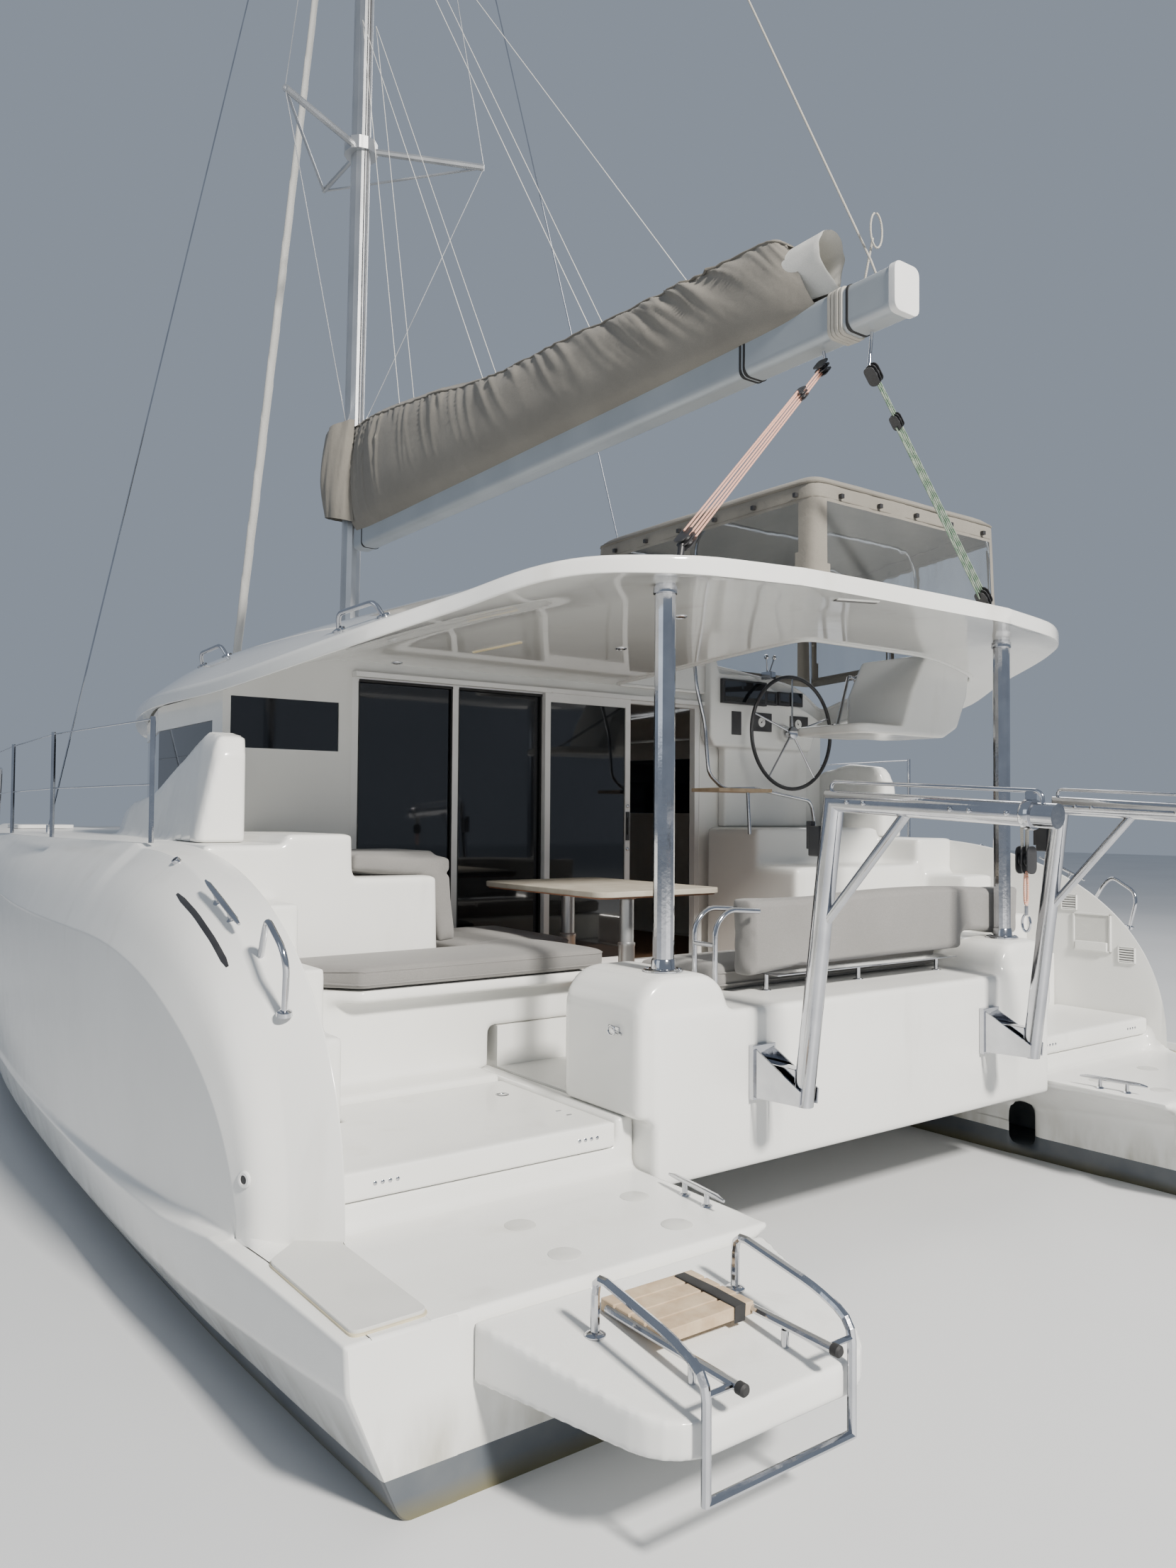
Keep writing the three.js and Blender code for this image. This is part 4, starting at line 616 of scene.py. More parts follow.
def hull_at(y):
    return [smooth_table(HULL_SECTIONS, y, k) for k in range(len(HULL_SECTIONS[0]))]


def side_x(y, z):
    """Half width of the hull's side at a place, smoothly through the top, the shoulder and the ledge."""
    _, top_z, top_x, ledge, knuckle_x, knuckle_z = hull_at(y)[:6]
    root_x = knuckle_x - ledge
    heights = (top_z - GUNWALE_DEPTH, (top_z + knuckle_z) / 2, knuckle_z + LEDGE_RISE)
    widths = (top_x, (top_x + root_x) / 2 + SIDE_BELLY, root_x)
    total = 0.0
    for i, (width, height) in enumerate(zip(widths, heights)):
        j, k = (heights[n] for n in range(3) if n != i)
        total += width * (z - j) * (z - k) / ((height - j) * (height - k))
    return total


def arch_point(line, angle):
    x, foot, top = ARCH_LINES[line]
    y = ARCH_START_Y + (foot - ARCH_START_Y) * max(0.0, math.sin(angle)) ** ARCH_POWER
    z = STERN_DECK_Z + (top - STERN_DECK_Z) * max(0.0, math.cos(angle)) ** ARCH_POWER
    return Vector((x, y, z))


def under_ledge(y):
    """Points of a section from the ledge down to the bilge: root, knuckle, chine, waterline, bilge."""
    _, _, _, ledge, knuckle_x, knuckle_z, chine_x, chine_z, line_x, bilge_x, bilge_z = hull_at(y)
    root_z, knuckle_z = min(knuckle_z + LEDGE_RISE, STERN_DECK_Z), min(knuckle_z, STERN_DECK_Z - 0.003)
    section = ((knuckle_x - ledge, root_z), (knuckle_x, knuckle_z), (chine_x, chine_z), (line_x, 0),
               ((line_x + bilge_x) / 2 + 0.015, bilge_z * 0.42), (BULWARK_INNER_X, bilge_z * 0.9))
    return [Vector((x, y, z)) for x, z in section]


def section_of(a, b, c, inward, fade):
    """Control points of one column, from the bulwark's inner foot over its top and down the side."""
    across, back, up = GUNWALE_BULGE
    bulge = (b + c) / 2 + Vector((across, back * (1 - fade), up))
    lower = c + inward * PANEL_STEP
    lower.x = side_x(lower.y, lower.z) - PANEL_DEPTH
    root = under_ledge(lower.y)[0]
    low_z = min(root.z, lower.z)
    heights = [lower.z + (low_z - lower.z) * share for share in (0.2, 0.4, 0.6, 0.8)]
    panel = [Vector((side_x(lower.y, z) - PANEL_DEPTH, lower.y, z)) for z in heights]
    foot = Vector((root.x - PANEL_DEPTH * 0.6, root.y, low_z))
    inner = Vector((a.x, a.y, min(a.z, STERN_DECK_Z) - SKIRT))
    return [inner, a, b, bulge, c, lower, *panel, foot, *under_ledge(lower.y)[1:]]


# Fillet at each control point, and how many faces to its next neighbour
SECTION_RADII = (0, 0.010, 0.009, 0.14, 0.006, 0.004, 0.2, 0.2, 0.2, 0.2, 0.016, 0.010, 0.02, 0.05, 0.05, 0)
SECTION_SPLITS = (2, 3, 3, 3, 1, 2, 2, 2, 2, 2, 2, 4, 3, 2, 2)
PANEL_FROM, PANEL_TO = 5, 10


def filleted(points):
    """The section's line with its corners rounded, and which control point each stretch belongs to."""
    line, owner = [], []
    for i, (p, radius) in enumerate(zip(points, SECTION_RADII)):
        here = fillet(points[i - 1], p, points[i + 1], radius, 4, 2.2) if radius else [p]
        if line:
            first, splits = line[-1], SECTION_SPLITS[i - 1]
            line += [first + (here[0] - first) * (k / splits) for k in range(1, splits)]
            owner += [i - 1] * (splits - 1)
        line += here
        owner += [i] * len(here)
    return line, owner


def fore_column(t):
    """A column ahead of the bulwark's arch; t runs from the forward end at 1 down to the arch."""
    y = ARCH_START_Y + (HULL_SPLIT_Y + 0.02 - ARCH_START_Y) * t
    fade = t * t * (3 - 2 * t)
    _, top_z, top_x = hull_at(y)[:3]
    (top_line_x, _, _), (_, _, side_line_z) = ARCH_LINES[1:]
    b = Vector((top_line_x + (top_x - GUNWALE_ACROSS - top_line_x) * fade, y, SIDE_DECK_Z - 0.004))
    c_z = side_line_z + (top_z - GUNWALE_DEPTH - side_line_z) * t ** 4
    a = Vector((BULWARK_INNER_X, y, SIDE_DECK_Z + 0.001))
    c = Vector((side_x(y, c_z) - PANEL_DEPTH * (1 - fade), y, c_z))
    return section_of(a, b, c, -Z_AXIS, fade)


def arch_column(angle):
    """A column through the arch that runs down from the side deck to the stern deck."""
    a, b, c = (arch_point(line, angle) for line in range(3))
    ahead = arch_point(2, max(0.0, angle - 0.02)) - arch_point(2, min(math.pi / 2, angle + 0.02))
    inward = Vector((0, ahead.z, -ahead.y)).normalized()
    if inward.z > 0 or inward.y < 0:
        inward = -inward
    c.x = side_x(c.y, max(c.z, PANEL_LOW_Z)) - PANEL_DEPTH
    return section_of(a, b, c, inward, 0.0)


def stern_column(last, t):
    """A column beside the stern deck, between the arch's last one and the transom."""
    below = under_ledge(last[4].y + (TRANSOM_Y - last[4].y) * t)
    edge = below[0]
    inner_x = BULWARK_INNER_X - SEAM_LAP * t
    below[-1].x = inner_x
    column = []
    for k, p in enumerate(last[:PANEL_TO + 1]):
        share = (p.x - BULWARK_INNER_X) / (last[PANEL_TO].x - BULWARK_INNER_X)
        z = STERN_DECK_Z + (edge.z - STERN_DECK_Z) * max(0.0, share - 0.55) / 0.45 if k else p.z
        column.append(Vector((inner_x + (edge.x - inner_x) * limited(share), p.y + (TRANSOM_Y - p.y) * t, z)))
    return column + below[1:]


def hull_columns():
    """Columns of control points from the forward end to the transom."""
    columns = [fore_column(1 - i / FORE_COLUMNS) for i in range(FORE_COLUMNS)]
    columns += [arch_column(math.pi / 2 * i / ARCH_COLUMNS) for i in range(ARCH_COLUMNS + 1)]
    last = columns[-1]
    places = [1 - (1 - i / STERN_COLUMNS) ** 1.3 for i in range(1, STERN_COLUMNS + 1)]
    return columns + [stern_column(last, t) for t in places]


# The rounded edge of the transom: how far back and how far in
TRANSOM_EDGE = ((0.004, 0.0015), (0.009, 0.005), (0.0138, 0.011))
END_SHIFT, END_REACH = 0.012, 0.0018


def hull_side(word, side):
    filleted_columns = [filleted(column) for column in hull_columns()]
    rings = [line for line, _ in filleted_columns]
    owners = filleted_columns[-1][1]
    end = rings[-1]
    middle = sum(end, Vector()) / len(end)
    toward = [(middle - p).normalized() * Vector((p.x > BULWARK_INNER_X + 0.002, 0, 1)) for p in end]
    for back, shrink in TRANSOM_EDGE:
        rings.append([p + d * shrink - Y_AXIS * back for p, d in zip(end, toward)])
    for p in (p for ring in rings[-4:] for p in ring):
        p.y = max(p.y + END_SHIFT, TRANSOM_Y - END_REACH)
    bm = bmesh.new()
    skinned(bm, [[bm.verts.new((p.x * side, p.y, p.z)) for p in ring] for ring in rings])
    n = len(owners)
    # The panel's faces ahead of the stern columns take the second, darker gelcoat: painted shade
    for number, face in enumerate(bm.faces):
        column, k = divmod(number, n)
        first, second = owners[k], owners[(k + 1) % n]
        panel = PANEL_FROM <= first < PANEL_TO or first == second == PANEL_TO
        face.material_index = int(panel and column < FORE_COLUMNS + ARCH_COLUMNS)
    bmesh.ops.remove_doubles(bm, verts=bm.verts, dist=2e-5)
    bmesh.ops.dissolve_degenerate(bm, edges=bm.edges, dist=1e-5)
    obj = from_bmesh(f"hull_{word}_side", bm, HULL_WHITE, slot="gelcoat", angle=38)
    obj.data.materials.append(SHADED_SIDE_WHITE)
    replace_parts(obj, "hull_" + word)


HULL_VOXELS = {"port": 0.021, "starboard": 0.03}
FORE_VOXEL = 0.042
for word, side in SIDES:
    hull_piece("hull_" + word, side, True, HULL_VOXELS[word], 3)
    hull_piece("hull_" + word, side, False, FORE_VOXEL, 2)
    hull_side(word, side)


def skin(*names):
    """The surfaces of named pieces as one, for finding where a fitting sits on them."""
    verts, faces = [], []
    for name in names:
        mesh = shown[name].data
        start = len(verts)
        verts.extend(v.co.copy() for v in mesh.vertices)
        faces.extend([start + k for k in p.vertices] for p in mesh.polygons)
    return BVHTree.FromPolygons(verts, faces)


def seen(tree, u, v):
    """Where the line of sight through a pixel of the photograph's frame meets a surface, and its normal."""
    way = ray(u, v)
    at, normal, _, _ = tree.ray_cast(EYE, way)
    if at is None:
        line = [EYE + way * (0.1 * k) for k in range(30, 200)]
        at, normal, _, _ = min((tree.find_nearest(p) for p in line), key=lambda found: found[3])
    return at, (normal if normal.dot(way) < 0 else -normal)


# Roof: y, half width and height of the edge, shoulder, top, ceiling height and half width
ROOF_SECTIONS = (
    (-4.83, 0.80, 3.055, 0.78, 3.135, 3.14, 3.057, 0.70), (-4.74, 1.35, 3.045, 1.30, 3.13, 3.15, 3.057, 1.10),
    (-4.45, 1.79, 3.025, 1.70, 3.115, 3.165, 3.06, 1.35), (-3.94, 2.06, 2.915, 1.85, 3.08, 3.18, 3.05, 1.45),
    (-3.46, 2.31, 2.80, 2.00, 3.06, 3.19, 3.03, 1.60), (-2.23, 2.50, 2.69, 2.15, 3.05, 3.19, 2.96, 1.85),
    (-0.80, 2.50, 2.69, 2.15, 3.04, 3.17, 2.90, 1.90), (0.50, 2.26, 2.67, 1.95, 2.99, 3.13, 2.86, 1.70),
    (1.60, 1.84, 2.63, 1.55, 2.90, 3.06, 2.80, 1.35), (2.20, 1.26, 2.60, 1.05, 2.80, 2.93, 2.74, 0.90),
    (2.48, 0.60, 2.59, 0.50, 2.69, 2.76, 2.65, 0.45),
)
FASCIA = 0.075
ROOF_BENDS = [0.25, 0.012, 0.022, 0.3, 0.3]
CROWN_BEND = 0.5
HELM_WELL = ((0.28, -3.86), (1.88, -3.86), (2.365, -2.08), (0.28, -2.08))
WELL_MIDDLE = Vector((1.15, -2.95))
WELL_BEND, WELL_LIP = 0.09, 0.10
ROOF_STATIONS = 110
ROOF_ANGLE = 50


def roof_ring(y):
    half, edge, shoulder_x, shoulder_z, top, ceiling, ceiling_x = (
        smooth_table(ROOF_SECTIONS, y, k) for k in range(1, len(ROOF_SECTIONS[0])))
    right = [(ceiling_x, ceiling), (half, edge), (half, edge + FASCIA), (shoulder_x, shoulder_z),
             (shoulder_x * 0.55, top - 0.25 * (top - shoulder_z))]
    outline = right + [(0, top)] + [(-x, z) for x, z in reversed(right)]
    return [(x, y, z) for x, z in corners(outline, ROOF_BENDS + [CROWN_BEND] + ROOF_BENDS[::-1], 7)]


def roof_form():
    first, last = ROOF_SECTIONS[0][0], ROOF_SECTIONS[-1][0]
    shares = [0.5 - 0.5 * math.cos(math.pi * k / ROOF_STATIONS) for k in range(ROOF_STATIONS + 1)]
    rings = [roof_ring(first + (last - first) * share) for share in shares]
    obj = loft("roof_form", rings, ROOF_WHITE, slot="gelcoat", angle=ROOF_ANGLE)
    cutter = piece("well_cutter", WHITE, (extruded, corners(HELM_WELL, WELL_BEND, 8), 2.5, 3.6), body=None)
    modified(obj, "BOOLEAN", operation="DIFFERENCE", object=cutter, solver="EXACT")
    baked(obj)
    shown.pop(cutter.name)
    bpy.data.objects.remove(cutter)
    obj.data.shade_smooth()
    obj.data.set_sharp_from_angle(angle=math.radians(ROOF_ANGLE))
    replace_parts(obj, "roof")


roof_form()
ROOF_SKIN = skin("roof_form")


def well_edge(start_z, way, lift):
    """The coaming's line round the helm well, on the roof's top or ceiling."""
    outline = corners(HELM_WELL, WELL_LIP, 8)
    line, points = [], []
    for (x0, y0), (x1, y1) in zip(outline, outline[1:] + outline[:1]):
        steps = max(1, int(math.dist((x0, y0), (x1, y1)) / 0.06))
        line += [Vector((x0 + (x1 - x0) * k / steps, y0 + (y1 - y0) * k / steps)) for k in range(steps)]
    for p in line:
        outward = (p - WELL_MIDDLE).normalized() * 0.016
        at = ROOF_SKIN.ray_cast(Vector((*(p + outward), start_z)), way)[0]
        if at:
            points.append((*(p + outward * 0.4), at.z + lift))
    return points + points[:1]


for word, start_z, way, lift in (("top", 5, -Z_AXIS, 0.004), ("under", 1.5, Z_AXIS, -0.001)):
    piece("well_edge_" + word, WHITE, (bar, well_edge(start_z, way, lift), 0.014, 10))

# Cushions: closed pads that swell between their seams
SWELL_PRESSURE, SWELL_FRAMES = 4.0, 20


def swell(obj, cap):
    """Blows a pad up with the cloth simulation; no point moves further than the cap."""
    before = np.empty(len(obj.data.vertices) * 3)
    obj.data.vertices.foreach_get("co", before)
    cloth = obj.modifiers.new("cloth", "CLOTH")
    cloth.settings.use_pressure = True
    cloth.settings.uniform_pressure_force = SWELL_PRESSURE
    cloth.settings.effector_weights.gravity = 0
    scene = bpy.context.scene
    for step in range(1, SWELL_FRAMES + 1):
        scene.frame_set(step)
    graph = bpy.context.evaluated_depsgraph_get()
    after = np.empty_like(before)
    obj.evaluated_get(graph).data.vertices.foreach_get("co", after)
    obj.modifiers.remove(cloth)
    move = (after - before).reshape(-1, 3)
    length = np.linalg.norm(move, axis=1, keepdims=True)
    move *= np.minimum(1, cap / np.maximum(length, 1e-9))
    obj.data.vertices.foreach_set("co", (before.reshape(-1, 3) + move).ravel())
    obj.data.update()
    scene.frame_set(1)


def shrink(obj, amount):
    normals = [v.normal.copy() for v in obj.data.vertices]
    for v, n in zip(obj.data.vertices, normals):
        v.co -= n * amount


CHANNEL_DEPTH, CHANNEL_WIDTH = 0.016, 0.013


def channel(co, axis, place, face_axis, limits):
    """Presses a sewn channel across a pad, along one axis at a place, into the upper half of one face."""
    near = np.exp(-((co[:, axis] - place) / CHANNEL_WIDTH) ** 2)
    face = co[:, face_axis] > (co[:, face_axis].max() + co[:, face_axis].min()) / 2
    for other, low, high in limits:
        face &= (co[:, other] > low) & (co[:, other] < high)
    co[:, face_axis] -= CHANNEL_DEPTH * near * face


# Node, cap on the swelling, fill, axis of the resting plane, channels (axis, place, face axis, limits)
PADS = (
    ("cushion_port_bench", 0.022, 0.8, 2, ((1, -2.985, 2, ((0, -1.45, -0.6),)),)),
    ("cushion_port_back", 0.020, 0.75, 0, ((2, 1.715, 0, ()),)),
    ("cushion_aft_seat", 0.022, 0.8, 2, ((0, 0.25, 2, ()),)),
    ("cushion_aft_back", 0.022, 0.75, 1, ((0, -0.02, 1, ()), (0, 0.86, 1, ()))),
)
PAD_VOXEL = 0.024
PAD_SHRINK = 0.009
PAD_CLEARANCE = 0.001
for pad_name, cap, fill, rest_axis, channels in PADS:
    pad = soften(copy_of(pad_name), PAD_VOXEL, 3, kept=1)
    shrink(pad, PAD_SHRINK)
    swell(pad, cap)
    modified(pad, "SUBSURF", levels=1)
    baked(pad)
    co = np.empty(len(pad.data.vertices) * 3)
    pad.data.vertices.foreach_get("co", co)
    co = co.reshape(-1, 3)
    for values in channels:
        channel(co, *values)
    box_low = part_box(pad_name)[0]
    for axis in {2, rest_axis}:
        co[:, axis] = np.maximum(co[:, axis], box_low[axis] + PAD_CLEARANCE)
    pad.data.vertices.foreach_set("co", co.ravel())
    pad.data.update()
    finish(pad, SEAT_CLOTH, "root", "cushion_fabric", angle=60)
    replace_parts(pad, pad_name)


def piping(pad_name, outline, height):
    """The line of a sewn welt that runs round a pad a little below its top."""
    tree = skin(pad_name + "_form")
    middle = sum((Vector((*p, height)) for p in outline), Vector()) / len(outline)
    starts = [Vector((*p, height)) for p in corners(outline, 0.045, 6)]
    line = [tree.find_nearest(p + (p - middle).normalized() * 0.02)[0] for p in starts]
    return line + line[:1]


BENCH_PLAN = ((-2.45, -3.35), (-2.27, -3.54), (-0.88, -3.54), (-0.88, -2.975), (-0.68, -2.975),
              (-0.68, -2.11), (-1.44, -2.11), (-1.44, -3.005), (-2.45, -3.005))
SEAT_PLAN = ((-0.84, -4.24), (1.0, -4.24), (1.0, -4.04), (1.44, -4.04), (1.44, -3.70), (-0.84, -3.70))
for name, pad_name, plan, height in (("bench_top", "cushion_port_bench", BENCH_PLAN, 1.318),
                                     ("bench_foot", "cushion_port_bench", BENCH_PLAN, 1.237),
                                     ("seat_top", "cushion_aft_seat", SEAT_PLAN, 1.278),
                                     ("seat_foot", "cushion_aft_seat", SEAT_PLAN, 1.197)):
    piece("piping_" + name, SEAT_CLOTH, (bar, piping(pad_name, plan, height), 0.0045, 8))

# Fittings on the hulls, decks and cockpit
RIBBON_SHAPE = ((-0.5, -0.8), (-0.46, 0.55), (-0.36, 1.0), (0.36, 1.0), (0.46, 0.55), (0.5, -0.8))
AFT = -Y_AXIS


def ribbon(bm, points, normals, width, height):
    """A low strip along points that lies on a surface with these normals."""
    rings = []
    last = len(points) - 1
    widths = width if isinstance(width, (list, tuple)) else [width] * len(points)
    for i, (p, normal, wide) in enumerate(zip(points, normals, widths)):
        along = (points[min(i + 1, last)] - points[max(i - 1, 0)]).normalized()
        up = normal.normalized()
        side = along.cross(up).normalized()
        rings.append([bm.verts.new(p + side * (a * wide) + up * (b * height)) for a, b in RIBBON_SHAPE])
    skinned(bm, rings)


def both_sides(name, material, parts_of, **more):
    """The same piece on the port and the starboard side; parts_of(side) lists its parts."""
    for word, side in SIDES:
        piece(f"{name}_{word}", material, *parts_of(side), **more)


def flipped(points, side):
    """Points found on the port side, for either side."""
    return [Vector((p[0] * -side, p[1], p[2])) for p in points]


def line_on(tree, pixels, count):
    """Points and normals on a surface along a line of pixels."""
    chain = [Vector((*p, 0)) for p in pixels]
    spans = [(b - a).length for a, b in zip(chain, chain[1:])]
    found = []
    for i in range(count):
        rest = sum(spans) * i / (count - 1)
        k = 0
        while k < len(spans) - 1 and rest > spans[k]:
            rest -= spans[k]
            k += 1
        at = chain[k].lerp(chain[k + 1], rest / spans[k])
        found.append(seen(tree, at.x, at.y))
    return [p for p, _ in found], [normal for _, normal in found]


def on_plane(u, v, y):
    """Where the line of sight through a pixel meets a plane across the boat's length."""
    way = ray(u, v)
    return EYE + way * ((y - EYE.y) / way.y)


HULL_SKIN = skin("hull_port_aft", "hull_port_side")
STARBOARD_SKIN = skin("hull_starboard_aft", "hull_starboard_side", "cockpit_moulding_starboard_form")

# A black strip along the band is painted shade for the inside of its slot
slot_line = line_on(HULL_SKIN, ((250, 1261), (276, 1290), (301, 1327), (321, 1364)), 12)
SLOT_WIDTHS = [0.012] + [0.026] * 10 + [0.012]
both_sides("band_slot_painted_shade", BLACK,
           lambda side: [(ribbon, *(flipped(line, side) for line in slot_line), SLOT_WIDTHS, 0.0025)])


def cleat(bm, a, b, up, lift, thick):
    """A mooring cleat: a bar with two horns on two posts."""
    a, b, up = Vector(a), Vector(b), Vector(up).normalized()
    horns = ((0, 0.004, 0.45), (0.12, 0, 0.85), (0.5, 0, 1.0), (0.88, 0, 0.85), (1, 0.004, 0.45))
    line = [a.lerp(b, t) + up * (lift - sink) for t, sink, _ in horns]
    bar(bm, line, [thick * share for _, _, share in horns], 14)
    for t in (0.3, 0.7):
        foot = a.lerp(b, t)
        bar(bm, [foot, foot + up * 0.006, foot + up * 0.01, foot + up * lift],
            [thick * share for share in (1.9, 1.8, 0.95, 0.8)], 14)


quarter_at, quarter_up = line_on(HULL_SKIN, ((296, 1256), (343, 1318)), 3)
both_sides("quarter_cleat", STEEL, lambda side: [
    (cleat, *flipped((quarter_at[0], quarter_at[2], quarter_up[1]), side), 0.055, 0.013)])

RAIL_RADIUS = 0.0125
GRAB_HOOP = ((-2.93, -4.05, 1.43), (-2.94, -4.13, 1.58), (-2.95, -4.19, 1.64), (-2.95, -4.34, 1.55),
             (-2.94, -4.36, 1.48), (-2.93, -4.32, 1.31))


def foot_plate(at, out, heights, radii):
    """The round plate under the end of a rail."""
    return bar, [at + out * height for height in heights], radii, 16


def grab_hoop(side):
    line = flipped(GRAB_HOOP, side)
    plates = [foot_plate(at, (on - at).normalized(), (-0.01, 0.006, 0.012), [0.03, 0.028, 0.014])
              for at, on in ((line[0], line[1]), (line[-1], line[-2]))]
    return [(bar, rounded(line, 0.05), RAIL_RADIUS, 14), *plates]


both_sides("grab_hoop", STEEL, grab_hoop)


def ring_fitting(at, normal, radius, height):
    profile = ((0, 0), (radius, 0), (radius, height * 0.6), (radius * 0.85, height), (radius * 0.55, height),
               (radius * 0.5, height * 0.3), (0, height * 0.3))
    return turned, profile, at - normal * 0.002, normal


# Small round fittings on the hull's side: pixel, radius, height, finish
for number, (pixel, radius, height, material) in enumerate((((345, 1664), 0.03, 0.01, COATED),
                                                            ((250, 1216), 0.02, 0.02, STEEL)), 1):
    place = seen(HULL_SKIN, *pixel)
    # A black disc inside each ring is painted shade for the fitting's hole
    hole_shade = ((0, 0), (radius * 0.5, 0), (radius * 0.48, height * 0.5), (0, height * 0.5))
    both_sides(f"hull_fitting_{number}", material,
               lambda side: [ring_fitting(*flipped(place, side), radius, height)])
    both_sides(f"hull_fitting_hole_{number}", BLACK, lambda side: [(turned, hole_shade, *flipped(place, side))])

DECK_Z = 0.547
STERN_DISCS = ((-2.22, -4.80), (-2.24, -5.11), (-1.75, -5.12), (-1.69, -4.80))
DISC = ((0, 0), (0.058, 0), (0.058, 0.002), (0.054, 0.004), (0, 0.004))
both_sides("stern_disc", PANEL_WHITE, lambda side: [
    (turned, DISC, (-x * side, y, DECK_Z - 0.001), Z_AXIS, 32) for x, y in STERN_DISCS])

STERN_PAD = ((-3.09, -4.63), (-2.93, -4.49), (-2.83, -4.53), (-2.83, -5.25), (-3.08, -5.26))


def stern_pad(side, grow, high, bevel):
    middle = sum((Vector(p) for p in STERN_PAD), Vector((0, 0))) / len(STERN_PAD)
    plan = [middle + (Vector(p) - middle) * (1 + grow) for p in STERN_PAD]
    outline = corners([(-p.x * side, p.y) for p in plan], 0.035)
    return [(extruded, outline, DECK_Z - 0.002, DECK_Z + high, (0, 1, 2), bevel)]


both_sides("stern_pad", PANEL_WHITE, lambda side: stern_pad(side, 0, 0.016, 0.004))
both_sides("stern_pad_edge", CREAM, lambda side: stern_pad(side, 0.02, 0.006, 0.001))


def seam_cover(side):
    """A thin strip over the joint between the stern deck and the hull's side moulding."""
    a, b = sorted((-2.71 * side, -2.845 * side))
    return [(block, (a, -5.292, 0.52), (b, -5.12, DECK_Z + 0.0012), 0.001)]


both_sides("seam_cover", HULL_WHITE, seam_cover)
both_sides("stern_cleat", STEEL, lambda side: [
    (cleat, (1.505 * side, -4.79, DECK_Z), (1.545 * side, -5.15, DECK_Z), Z_AXIS, 0.055, 0.012)])

LID_TOP, LID_AFT_Y = 0.75, -4.499
LID_SCREWS = (1.65, 1.68, 1.71, 1.74, 2.56, 2.59, 2.62, 2.65)
SCREW = ((0, 0), (0.008, 0), (0.008, 0.002), (0.005, 0.004), (0, 0.004))


def lid_fittings(side):
    x = 1.66 * side
    marks = [(block, (x - 0.012, y - 0.005, LID_TOP - 0.002), (x + 0.012, y + 0.005, LID_TOP + 0.003), 0.001)
             for y in (-4.23, -4.31)]
    screws = [(turned, SCREW, (screw_x * side, LID_AFT_Y, 0.697), AFT, 12) for screw_x in LID_SCREWS]
    return [ring_fitting(Vector((1.71 * side, -3.85, LID_TOP)), Z_AXIS, 0.032, 0.005), *marks, *screws]


for word, side in SIDES:
    piece("lid_fittings_" + word, STEEL, *lid_fittings(side), body="locker_lid_" + word)

FLANGE = ((0.047, 0.0), (0.088, 0.0), (0.088, 0.007), (0.082, 0.011), (0.056, 0.013), (0.052, 0.05),
          (0.0485, 0.055))
POLE_COLLAR = ((0.0475, 0), (0.054, 0), (0.055, 0.004), (0.055, 0.03), (0.0475, 0.03))
FLANGE_SCREW = ((0, 0), (0.009, 0), (0.008, 0.004), (0, 0.006))


def pole_fittings(side):
    x, y = 1.265 * side, -4.46
    screws = [(turned, FLANGE_SCREW, (x + 0.07 * math.cos(a), y + 0.07 * math.sin(a), 1.362), Z_AXIS, 10)
              for a in (math.pi / 4 + quarter for quarter in circle(4))]
    return [(turned, FLANGE, (x, y, 1.351), Z_AXIS, 32), (turned, POLE_COLLAR, (x, y, 3.015), Z_AXIS, 32),
            *screws]


both_sides("pole_flange", STEEL, pole_fittings)


def pod_eye(side):
    at = Vector((1.522 * side, -4.45, 1.12))
    half = Vector((0.004, 0.03, 0.015))
    ring = [at + Vector((side * 0.02, math.cos(a) * 0.024, math.sin(a) * 0.02)) for a in circle(16, True)]
    pin = Vector((0, 0.045, 0.012))
    return [(block, at - half, at + half, 0.003), (bar, ring, 0.004, 8),
            (bar, [at - pin, at + pin], 0.006, 8)]


both_sides("pod_eye", STEEL, pod_eye)

# Teak sole of the cockpit and the saloon
SOLE_Z, PLANK = 0.9645, 0.006
COCKPIT_SOLE = ((-0.712, -2.10), (-0.712, -2.995), (-0.942, -2.995), (-0.942, -3.372), (-0.942, -3.682),
                (1.124, -3.682), (1.124, -2.10))
SALOON_SOLE = ((-2.2, -1.96), (2.2, -1.96), (2.0, 0.88), (-2.0, 0.88))
for word, plan in (("cockpit", COCKPIT_SOLE), ("saloon", SALOON_SOLE)):
    piece(word + "_sole", TEAK, (extruded, plan, SOLE_Z, SOLE_Z + PLANK))

# Table: a worn plank top with a reddish edge, on two turned aluminium legs
TABLE_PLAN = ((-1.0, -3.65), (-0.15, -3.65), (-0.15, -2.45), (-1.0, -2.45))
TABLE_MIDDLE_Y = -3.05
TABLE_LOW, TABLE_HIGH = 1.606, 1.636
TABLE_LEG = ((0, 0), (0.11, 0), (0.11, 0.006), (0.095, 0.014), (0.05, 0.022), (0.046, 0.06), (0.046, 0.34),
             (0.049, 0.345), (0.049, 0.36), (0.04, 0.365), (0.04, 0.60), (0.085, 0.62), (0.085, 0.632),
             (0, 0.632))
table = piece("table_top", TABLE_TOP,
              (extruded, corners(TABLE_PLAN, 0.09, 8), TABLE_LOW, TABLE_HIGH, (0, 1, 2), 0.007))
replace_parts(table, "table")
inner_plan = [(x * 0.97 - 0.017, (y - TABLE_MIDDLE_Y) * 0.975 + TABLE_MIDDLE_Y) for x, y in TABLE_PLAN]
piece("table_underside", RED_TEAK, (extruded, corners(inner_plan, 0.08, 8), TABLE_LOW - 0.008, TABLE_LOW),
      slot="teak")
piece("table_legs", ALLOY, *((turned, TABLE_LEG, (-0.575, y, SOLE_Z), Z_AXIS, 32) for y in (-3.32, -2.75)))

